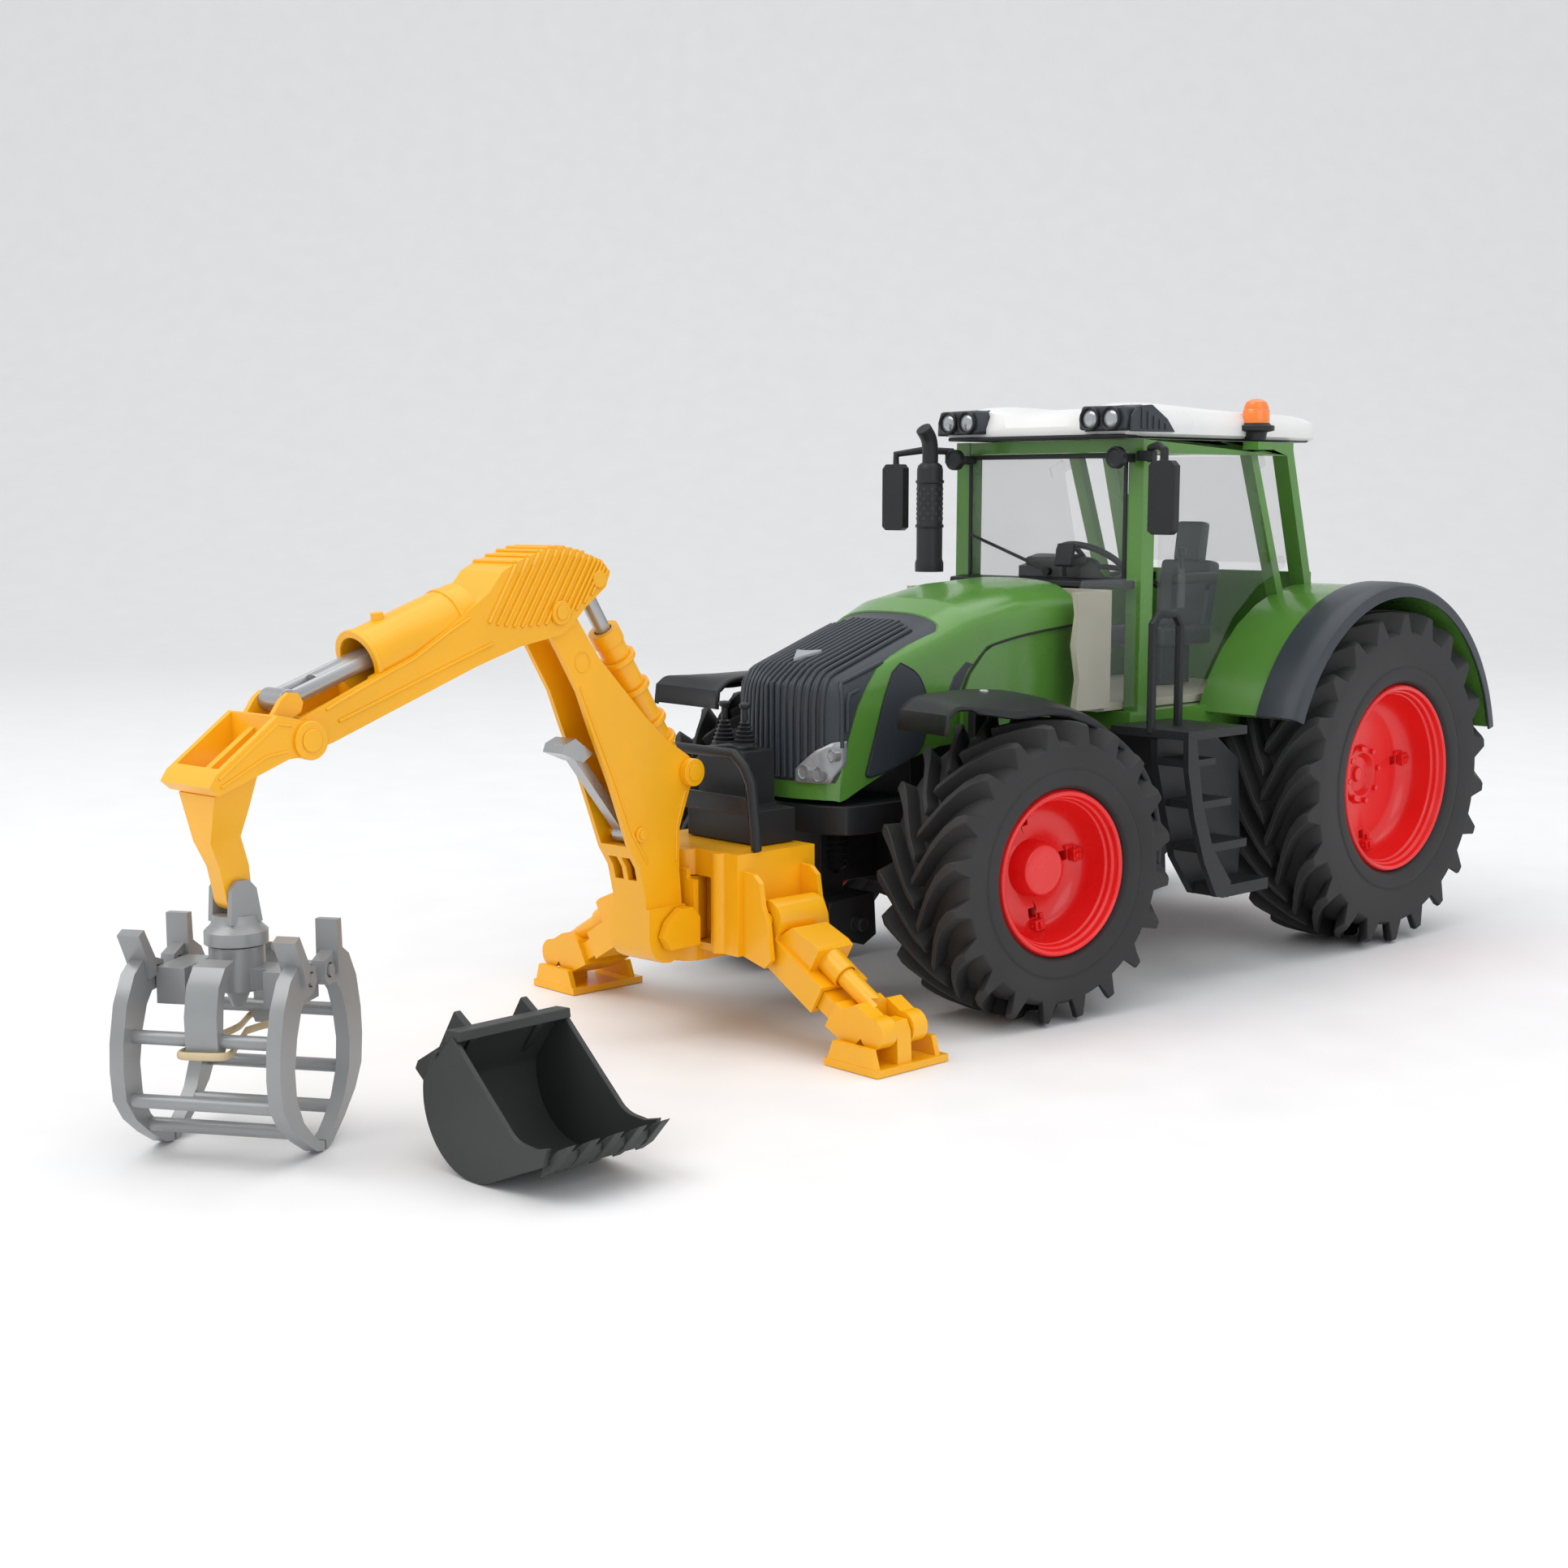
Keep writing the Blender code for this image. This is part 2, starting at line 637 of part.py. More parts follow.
def front_fender_solid():
    top = [(-229, 92), (-230.5, 104), (-223, 107.4), (-210, 109), (-195, 108.4), (-180, 105.4), (-165, 101),
           (-152, 95.4), (-139.5, 87.2)]
    under = [(-140.6, 85.6), (-153, 93.5), (-166, 98.9), (-181, 103.3), (-195, 106.2), (-210, 106.8),
             (-222, 105.2), (-228, 102.4), (-226.8, 92)]
    arch = prism(top + under, 46, 76)
    bracket = box(37.5, 41.5, -WHEELBASE - 5, -WHEELBASE + 5, 58 + GAP, 106)
    bridge = box(38, 50, -WHEELBASE - 5, -WHEELBASE + 5, 103.4, 106.8)
    kingpin_hole = rod((KINGPIN_X, -WHEELBASE, 50), (KINGPIN_X, -WHEELBASE, 59.6), 3.0, 12)
    return combine([arch, bracket, bridge], [kingpin_hole])


def exhaust_solid():
    stack = lathe(
        [(143.6, 0), (143.6, 5.6), (147, 5.6), (149, 5.0), (181, 5.0), (184, 3.4), (184, 0)],
        18, "Z", (-40, -132.5, 0),
    )
    tip = tube([(-40, -132.5, 180), (-40, -132.6, 190), (-40, -133.6, 194), (-40, -137.2, 198.4)], 3.1, 12)
    return combine([stack, tip])


# ---- carrier of the digging arm ----------------------------------------------------------
def carrier_solid():
    body = prism([(-289.5, 28), (-289.5, 60.5), (-256, 60.5), (-256, 40), (-266, 28)], -26, 26)
    nose = rod((0, SLEW_Y, 51.9), (0, SLEW_Y, 60.2), 6.2, 20)
    lower_nose = rod((0, SLEW_Y, 24), (0, SLEW_Y, 30.4), 7.2, 20)
    lower_arm = box(-8, 8, -288, -268, 24.2, 30.3)
    columns = [rod((x, -288.9, 28.2), (x, -288.9, 60.3), 2.8, 12) for x in (-17.2, 17.2)]
    notch = box(-13.2, 13.2, -294, -274.5, 30.4, 51.9)
    outline = [
        (24, 55.2), (30.9, 54.6), (33.8, 52.2), (34.9, 45.3), (37.4, 40), (38.9, 28.5), (36, 25.6),
        (30.8, 26.8), (24, 28.6),
    ]
    cheeks = []
    for y0, y1 in ((-287.3, -285.4), (-262.6, -260.8)):
        cheeks.append(prism(outline, y0, y1, "Y"))
        cheeks.append(prism([(-x, z) for x, z in outline], y0, y1, "Y"))
    arms = [box(x - 2.2, x + 2.2, -268, -246 - GAP, 30, 37) for x in (-14, 14)]
    clip = box(-6, 6, -257, -248 - GAP, 55, 60.2)
    frame = combine([body, nose, lower_nose, lower_arm] + columns + cheeks + arms + [clip], [notch])
    pin = rod((0, SLEW_Y, 27), (0, SLEW_Y, 56), 2.6, 14)
    leg_pins = []
    for side in (-1, 1):
        x, z = side * LEG_PIVOT[0], LEG_PIVOT[1]
        leg_pins.append(rod((x, -286.8, z), (x, -261.4, z), 2.4, 12))
    return combine([frame, pin] + leg_pins)


def console_solid():
    lower = box(-16, 18.5, -274, -257.5, 60.5 + GAP, 72)
    upper = box(-15, 8, -270, -256.8, 71, 90)
    return combine([lower, upper])


def guard_loop_solid():
    y = -281.2
    half = [(25.7, 60.5 + GAP), (25.3, 68), (23.2, 82), (20.2, 87), (15.5, 90.8)]
    path = [(x, y, z) for x, z in half] + [(-x, y, z) for x, z in reversed(half)]
    band = box(-24.3, 24.3, y - 1.0, y + 1.0, 71.5, 77.5)
    return combine([tube(path, 1.8), band])


def lever_solid(x):
    profile = [
        (90 + GAP, 0), (90 + GAP, 1.0), (91.6, 3.1), (93.5, 2.4), (95, 1.2), (101.5, 1.2), (103, 2.0), (104.6, 1.4), (105, 0),
    ]
    return lathe(profile, 12, "Z", (x, LEVER_Y, 0))


# ---- outriggers ---------------------------------------------------------------------------
LEG_DIR = Vector((math.cos(math.radians(LEG_ANGLE_DEG)), -math.sin(math.radians(LEG_ANGLE_DEG))))
LEG_UP = Vector((math.sin(math.radians(LEG_ANGLE_DEG)), math.cos(math.radians(LEG_ANGLE_DEG))))


def leg_block(along0, along1, up0, up1, y0, y1):
    """A box in the outrigger's own slanted frame, measured from the leg's pivot."""
    corners = []
    for along, up in ((along0, up0), (along1, up0), (along1, up1), (along0, up1)):
        point = Vector(LEG_PIVOT) + LEG_DIR * along + LEG_UP * up
        corners.append((point.x, point.y))
    return prism(corners, y0, y1, "Y")


def leg_rod(along0, along1, up, y, radius, sides=16):
    """A round bar along the outrigger's own slanted frame."""
    ends = []
    for along in (along0, along1):
        point = Vector(LEG_PIVOT) + LEG_DIR * along + LEG_UP * up
        ends.append((point.x, y, point.y))
    return rod(ends[0], ends[1], radius, sides)


def leg_prism(outline, y0, y1):
    """An outline in the outrigger's slanted frame, extruded across the leg."""
    corners = []
    for along, up in outline:
        point = Vector(LEG_PIVOT) + LEG_DIR * along + LEG_UP * up
        corners.append((point.x, point.y))
    return prism(corners, y0, y1, "Y")


LEG_FRONT, LEG_BACK = LEG_Y - 11.5, LEG_Y + 8.5
RAM_Y = -275.5
RAM_UP = -0.2


def leg_solid():
    y0, y1 = LEG_FRONT, LEG_BACK
    eye = rod((LEG_PIVOT[0], y0, LEG_PIVOT[1]), (LEG_PIVOT[0], y1, LEG_PIVOT[1]), 6.2, 18)
    sleeve = leg_prism([(-4, -3), (-1.5, -11.5), (2, -13.4), (30, -13.4), (30, -3.6), (6, -3.6), (5, 2)], y0, y1)
    head = leg_prism([(4, -5), (9, 3.4), (19.5, 4.8), (22, 4.4), (22, -5)], y0 + 1.6, y1 - 3.4)
    barrel = leg_rod(20, 30.4, RAM_UP, RAM_Y, 4.4)
    hollow = leg_block(7.5, 40, -11.9, -5.1, y0 + 1.5, y1 - 1.5)
    bore = leg_rod(18, 40, RAM_UP, RAM_Y, 3.6)
    hole = rod((LEG_PIVOT[0], y0 - 5, LEG_PIVOT[1]), (LEG_PIVOT[0], y1 + 5, LEG_PIVOT[1]), 2.8, 12)
    return combine([eye, sleeve, head, barrel], [hollow, bore, hole])


def inner_leg_solid():
    y0, y1 = LEG_FRONT + 0.2, LEG_BACK - 0.2
    bar_body = leg_block(14.0, 48.0, -11.5, -5.5, y0 + 1.7, y1 - 1.7)
    shoe = leg_prism([(36.8, -13.1), (49, -12.4), (51, -6), (51, 1.4), (44, 1.4), (40, -3.8), (36.8, -3.8)], y0, y1)
    shaft = leg_rod(25, 47.0, RAM_UP, RAM_Y, 3.25)
    foot_x, foot_z = FOOT_PIVOT
    gap = box(foot_x - 6.6, foot_x + 20, LEG_Y - 5.0, LEG_Y + 2.2, foot_z - 12, foot_z + 9)
    knuckles = []
    for a, b in ((y0, LEG_Y - 5.0), (LEG_Y + 2.2, y1)):
        knuckles.append(rod((foot_x, a, foot_z), (foot_x, b, foot_z), 5.0, 16))
    pin = rod((foot_x, y0 + 0.5, foot_z), (foot_x, y1 - 0.5, foot_z), 2.0, 12)
    body = combine([bar_body, shoe, shaft] + knuckles, [gap])
    return combine([body, pin])


def foot_solid():
    x, z = FOOT_PIVOT
    pad = box(62.5, 85.5, -287.0, -256, 0, 2.3)
    rims = []
    for y0, y1 in ((-286.8, -284.8), (-260.6, -258.6)):
        rims.append(prism([(63.5, 2), (66, 8.2), (82.5, 8.2), (84.5, 2)], y0, y1, "Y"))
    lug = prism([(x - 4.4, 2), (x - 4.0, z), (x - 2.6, z + 3.2), (x + 2.6, z + 3.2), (x + 4.2, z), (x + 4.6, 2)],
                LEG_Y - 4.4, LEG_Y + 1.6, "Y")
    hole = rod((x, -290, z), (x, -254, z), 2.4, 12)
    return combine([pad, lug] + rims, [hole])


# ---- digging arm, drawn in its own frame: x sideways, -y forward ------------------------------
def slew_block_solid():
    hub = rod((0, 0, 30.8), (0, 0, 51.5), 6.4, 20)
    web = box(-6, 6, -8.3, 0, 31, 51.3)
    wall = box(-11, 11, -8.3, -6.2, 30.8, 51.4)
    crest = box(-8, 8, -8.3, -6.6, 50, 54.7)
    outline = forward([(7, 30.8), (20, 30.8), (22.6, 35), (20.5, 39.6), (15, 43.4), (10.5, 43.4), (7, 40)])
    cheeks = [prism(outline, 9.4, 12.6), prism(outline, -12.6, -9.4)]
    hole = rod((0, 0, 20), (0, 0, 60), 3.0, 14)
    x = 11.0
    pin = rod(at_reach(-x, BOOM_PIVOT), at_reach(x, BOOM_PIVOT), 2.6, 14)
    body = combine([hub, web, wall, crest] + cheeks, [hole])
    return combine([body, pin])


def boom_solid():
    front = [(26, 40), (26, 47), (28.3, 57.2), (32.2, 63.3), (40.4, 84.8), (48.2, 102), (53.1, 113.8), (63.7, 131)]
    head = arc(STICK_PIVOT, 6.2, -50, 160, 8)
    rear = [(44.4, 123.6), (25.5, 104.7), (16.8, 97.1), (6.5, 90.8), (1.6, 87), (1.8, 83.4), (6, 80.4),
            (10.7, 68.5), (11, 55), (10, 44)]
    foot = arc(BOOM_PIVOT, 8.6, 170, 360, 8)
    outline = forward(front + head + rear + foot)
    plates = prism(outline, -BOOM_W, BOOM_W)
    shoe = prism(forward([(10, 44)] + foot + [(26, 44)]), -8.9, 8.9)
    inside = BOOM_W - 1.7
    upper = [(27, 64.6), (60, 64.6), (80, 150), (72, 150), (58, 132), (46.4, 121.4), (27.2, 102.6), (18.2, 94.6),
             (13.4, 86), (12.6, 70)]
    clevis = arc(CYLINDER_FOOT, 6.6, 0, 360, 14)[:-1]
    slot = [on_cylinder(0, -6.2), on_cylinder(0, 6.2), on_cylinder(34, 6.2), on_cylinder(34, -6.2)]
    lower_pocket = [(12.6, 47), (23.8, 47), (26.2, 57.6), (29.6, 62.2), (12.8, 62.2)]
    cuts = [
        prism(forward(upper), -inside, inside),
        prism(forward(clevis), -inside + 0.3, inside - 0.3),
        prism(forward(slot), -inside + 0.2, inside - 0.2),
        prism(forward(lower_pocket), -inside + 0.8, inside - 0.8),
        rod(at_reach(-20, BOOM_PIVOT), at_reach(20, BOOM_PIVOT), 3.0, 14),
        rod(at_reach(-20, STICK_PIVOT), at_reach(20, STICK_PIVOT), 3.0, 14),
    ]
    windows = [prism(forward([(20, 53), (34, 53), (34, 60.5), (20, 60.5)]), lo, hi)
               for lo, hi in ((-4.8, -1.0), (1.0, 4.8))]
    body = combine([plates, shoe], cuts + windows)
    x = BOOM_W - 0.4
    pins = [rod(at_reach(-x, CYLINDER_FOOT), at_reach(x, CYLINDER_FOOT), 1.8, 12)]
    pins.append(rod(at_reach(-x, STAY_PIVOT), at_reach(x, STAY_PIVOT), 1.4, 10))
    return combine([body] + pins)


def on_cylinder(distance, offset=0.0):
    """A point along the digging cylinder, measured from its foot pivot."""
    start, end = Vector(CYLINDER_FOOT), Vector(CYLINDER_HEAD)
    along = (end - start).normalized()
    point = start + along * distance + Vector((-along.y, along.x)) * offset
    return (point.x, point.y)


def cylinder_barrel_solid():
    eye = rod(at_reach(-4.8, CYLINDER_FOOT), at_reach(4.8, CYLINDER_FOOT), 4.6, 16)
    barrel = rod(at_reach(0, on_cylinder(3)), at_reach(0, on_cylinder(54)), 4.5, 16)
    collar = rod(at_reach(0, on_cylinder(50)), at_reach(0, on_cylinder(55)), 5.0, 16)
    hole = rod(at_reach(-9, CYLINDER_FOOT), at_reach(9, CYLINDER_FOOT), 2.2, 12)
    bore = rod(at_reach(0, on_cylinder(18)), at_reach(0, on_cylinder(60)), 2.9, 12)
    return combine([eye, barrel, collar], [hole, bore])


def cylinder_rod_solid():
    length = (Vector(CYLINDER_HEAD) - Vector(CYLINDER_FOOT)).length
    shaft = rod(at_reach(0, on_cylinder(26)), at_reach(0, on_cylinder(length)), 2.5, 12)
    eye = rod(at_reach(-3.4, CYLINDER_HEAD), at_reach(3.4, CYLINDER_HEAD), 4.4, 16)
    hole = rod(at_reach(-9, CYLINDER_HEAD), at_reach(9, CYLINDER_HEAD), 3.1, 14)
    return combine([shaft, eye], [hole])


def boom_stay_solid():
    foot = rod(at_reach(-2.6, STAY_PIVOT), at_reach(2.6, STAY_PIVOT), 3.0, 14)
    strut = bar(at_reach(0, STAY_PIVOT), at_reach(0, (51, 96)), 4.4, 3.0)
    clasp = prism(forward([(44.7, 94.6), (49, 92.2), (57.4, 95.6), (56.4, 98.2), (52, 99.8)]), -4.4, 4.4)
    hole = rod(at_reach(-9, STAY_PIVOT), at_reach(9, STAY_PIVOT), 1.8, 10)
    return combine([foot, strut, clasp], [hole])


RAM_DIR = Vector((math.cos(math.radians(-18.5)), math.sin(math.radians(-18.5))))


def on_ram(distance):
    """A point along the ram, measured back from its eye."""
    point = Vector(RAM_EYE) - RAM_DIR * distance
    return (point.x, point.y)


def stick_solid():
    outline = [
        (88.8, 145), (83.8, 150.6), (78.3, 153.4), (67.7, 156.7), (60.9, 157.2), (50, 154.9), (45, 153.2),
        (41.6, 149.6), (43.4, 145.2), (52.1, 139.1), (56.8, 134.6), (61.1, 131.8), (65.4, 131), (77.2, 129.1),
        (94, 124.2), (129.4, 112), (144.3, 106.7), (149, 105.6), (154.2, 113.7), (130.3, 123.2), (116.2, 128.4),
        (103, 136),
    ]
    plates = prism(forward(outline), -STICK_W, STICK_W)
    boss = rod(at_reach(-STICK_W, LINK_PIVOT), at_reach(STICK_W, LINK_PIVOT), 4.3, 16)
    tube_outer = rod(at_reach(0, on_ram(28)), at_reach(0, on_ram(66)), 8.7, 20)
    inside = STICK_W - 1.6
    tail = [
        (30, 120), (32, 148.2), (44.6, 152.3), (50, 154.0), (60.9, 156.0), (67.7, 155), (78, 151.7), (83, 149),
        (86.5, 142), (86.5, 110), (60, 110),
    ]
    nose = [(129.6, 117.2), (147, 111.2), (147, 113.5), (170, 113.5), (170, 140), (129.6, 140)]
    cuts = [
        prism(forward(tail), -inside, inside),
        prism(forward(nose), -inside, inside),
        rod(at_reach(0, on_ram(20)), at_reach(0, on_ram(62)), 6.9, 18),
    ]
    body = combine([plates, boss, tube_outer], cuts)
    x = STICK_W - 0.5
    pins = [
        rod(at_reach(-x, STICK_PIVOT), at_reach(x, STICK_PIVOT), 2.6, 14),
        rod(at_reach(-x, CYLINDER_HEAD), at_reach(x, CYLINDER_HEAD), 1.4, 10),
        rod(at_reach(-LINK_W + 0.1, LINK_PIVOT), at_reach(LINK_W - 0.1, LINK_PIVOT), 2.2, 12),
    ]
    return combine([body] + pins)


def ram_rod_solid():
    shaft = rod(at_reach(0, on_ram(0)), at_reach(0, on_ram(54)), 2.9, 12)
    piston = rod(at_reach(0, on_ram(50)), at_reach(0, on_ram(55)), 6.3, 16)
    eye = rod(at_reach(-4.4, RAM_EYE), at_reach(4.4, RAM_EYE), 3.7, 14)
    hole = rod(at_reach(-9, RAM_EYE), at_reach(9, RAM_EYE), 2.7, 12)
    return combine([shaft, piston, eye], [hole])


def link_solid():
    outline = [
        (149, 107), (151, 104.4), (155.6, 104), (159.5, 103.9), (181.2, 96.2), (184, 98.6), (182, 101.6),
        (162.6, 115.6), (158, 114.6), (150.6, 112.4),
    ]
    plates = prism(forward(outline), -LINK_W, LINK_W)
    hollow_back = prism(forward([(140, 95), (159.8, 95), (159.8, 125), (140, 125)]), -9.7, 9.7)
    hollow_mid = prism(forward([(163, 90), (180, 90), (180, 125), (163, 125)]), -9.4, 9.4)
    ear = forward([
        (152.2, 115.4), (151.4, 118), (153, 120.6), (156, 120.8), (158.4, 119), (163, 112.6), (163, 107.4), (160, 107.4),
        (157, 113.2),
    ])
    ears = [prism(ear, 5.0, 6.8), prism(ear, -6.8, -5.0)]
    hole = rod(at_reach(-20, LINK_PIVOT), at_reach(20, LINK_PIVOT), 2.6, 14)
    body = combine([plates], [hollow_back, hollow_mid, hole])
    pin = rod(at_reach(-6.2, RAM_EYE), at_reach(6.2, RAM_EYE), 1.2, 10)
    rib = prism(forward([(163, 109), (181, 97.6), (181, 99.4), (163, 112)]), -1.2, 1.2)
    return combine([body] + ears + [rib, pin])


def hook_solid():
    rings = []
    for s0, z0, s1, z1, half in (
        (167.2, 100.6, 180.6, 95.7, 8.2), (169, 91, 180, 89, 6.0), (170.3, 84, 179.5, 83, 4.0),
        (167.4, 76, 176.4, 76, 3.0), (166.8, 68, 174.6, 68, 3.0),
    ):
        rings.append([(-half, -s0, z0), (half, -s0, z0), (half, -s1, z1), (-half, -s1, z1)])
    eye = rod((-3.05, -HEAD_S, HEAD_PIVOT_Z), (3.05, -HEAD_S, HEAD_PIVOT_Z), 4.1, 16)
    hole = rod((-9, -HEAD_S, HEAD_PIVOT_Z), (9, -HEAD_S, HEAD_PIVOT_Z), 2.2, 12)
    return combine([loft(rings), eye], [hole])


def grapple_head_solid():
    y = -GRAPPLE_S
    profile = [(38, 0), (38, 1.6), (42, 3.2), (50, 4.6), (55.2, 4.6), (55.2, 8.45), (58.6, 8.45), (60.4, 6.6), (63, 6), (63, 0)]
    body = lathe(profile, 20, "Z", (0, y, 0))
    cheek = forward([(165.2, 61), (166.8, 70), (169, 72.4), (172.6, 72.4), (174.4, 70), (175, 61)])
    cheeks = [prism(cheek, 3.4, 5.3), prism(cheek, -5.3, -3.4)]
    pin = rod((-5.2, -HEAD_S, HEAD_PIVOT_Z), (5.2, -HEAD_S, HEAD_PIVOT_Z), 1.8, 12)
    return combine([body] + cheeks + [pin])


# ---- grapple, drawn about its own turning axis: x along the jaws' hinges, -y toward the near jaw --
def grapple_beam_solid():
    spine = box(-18.8, 18.8, -4.5, 4.5, 43.5, 49.2)
    collar = rod((0, 0, 43), (0, 0, 54.7), 7.4, 20)
    ends = [box(x - 4.1, x + 4.1, -8.2, 8.2, 39.6, 49.4) for x in (-15.1, 15.1)]
    hole = rod((0, 0, 30), (0, 0, 60), 5.0, 18)
    body = combine([spine, collar] + ends, [hole])
    pins = []
    for v in (-JAW_PIVOT[0], JAW_PIVOT[0]):
        for side in (-1, 1):
            pins.append(rod((side * 17, v, JAW_PIVOT[1]), (side * 24.3, v, JAW_PIVOT[1]), 1.7, 12))
    return combine([body] + pins)


def jaw_solid(tab):
    """The jaw on the near side; tab is the outline of its top tabs as (v, z)."""
    outer = [(3, 50.4), (9, 52.4), (13, 52.8), (18.5, 49.5), (23, 42.5), (25.5, 33), (26, 25.5), (25, 17.5),
             (20.4, 11.4), (13, 5.8), (5, 1.0), (0.5, 0.0)]
    inner = [(0.5, 2.6), (4, 3.8), (7.6, 6.3), (12.8, 11), (16.6, 18), (17.3, 26), (15.5, 34), (12.6, 40.4), (9.6, 43.4),
             (5, 43.6), (2.4, 46)]
    tine = [(-v, z) for v, z in outer + inner]
    solids = []
    for side in (-1, 1):
        lo, hi = sorted((side * 19.7, side * 23.6))
        solids.append(prism(tine, lo, hi))
        lo, hi = sorted((side * 18.5, side * 24.8))
        solids.append(prism([(-v, z) for v, z in tab], lo, hi))
    for v, z in ((19.5, 33.4), (21.6, 17), (12.6, 8.2)):
        solids.append(rod((-21, -v, z), (21, -v, z), 1.9, 12))
    plate = [(12, 53), (17, 52), (21, 47.6), (22.8, 40), (22.4, 31), (19.6, 28.6), (18, 31), (19.2, 36), (18.4, 44),
             (15.6, 49), (12, 51)]
    solids.append(prism([(-v, z) for v, z in plate], -4, 5))
    holes = []
    for side in (-1, 1):
        lo, hi = sorted((side * 16, side * 28))
        holes.append(rod((lo, -JAW_PIVOT[0], JAW_PIVOT[1]), (hi, -JAW_PIVOT[0], JAW_PIVOT[1]), 2.1, 12))
    return combine(solids, holes)


# ---- bucket, drawn with x forward and y across -------------------------------------------------
def bucket_solid():
    centre, radius, wall = (-4.0, 20.0), 20.0, 1.7
    belly = arc(centre, radius, 180, 297, 13)
    outline = belly + [(24, 10), (25.7, 15), (20, 13.6), (13, 14.6), (6.9, 19.8), (-11.3, 36.3)]
    inner_belly = arc(centre, radius - wall, 297, 180, 13)
    inner = [(40, 14)] + [(23.4, 11.6)] + inner_belly + [(-11.8, 33.6), (-10, 50), (40, 50)]
    shell = prism(outline, 0, BUCKET_W, "Y")
    hollow = prism(inner, wall, BUCKET_W - wall, "Y")
    tooth = [(21, 6.9), (24.4, 9.4), (31.2, 16.4), (28, 14.8), (22.6, 11.2)]
    teeth = []
    for k in range(5):
        y = 3.2 + k * 7.9
        teeth.append(prism(tooth, y - 1.9, y + 1.9, "Y"))
    ear = [(-19.3, 41), (-13, 36.4), (-13.4, 33.6), (-22, 22.6), (-33, 19), (-36.6, 22)]
    ears = [prism(ear, y - 1.2, y + 1.2, "Y") for y in (8, 30)]
    rail = box(-14, -8, 2, 36, 35.2, 38)
    body = combine([shell], [hollow])
    return combine([body, rail] + ears + teeth)


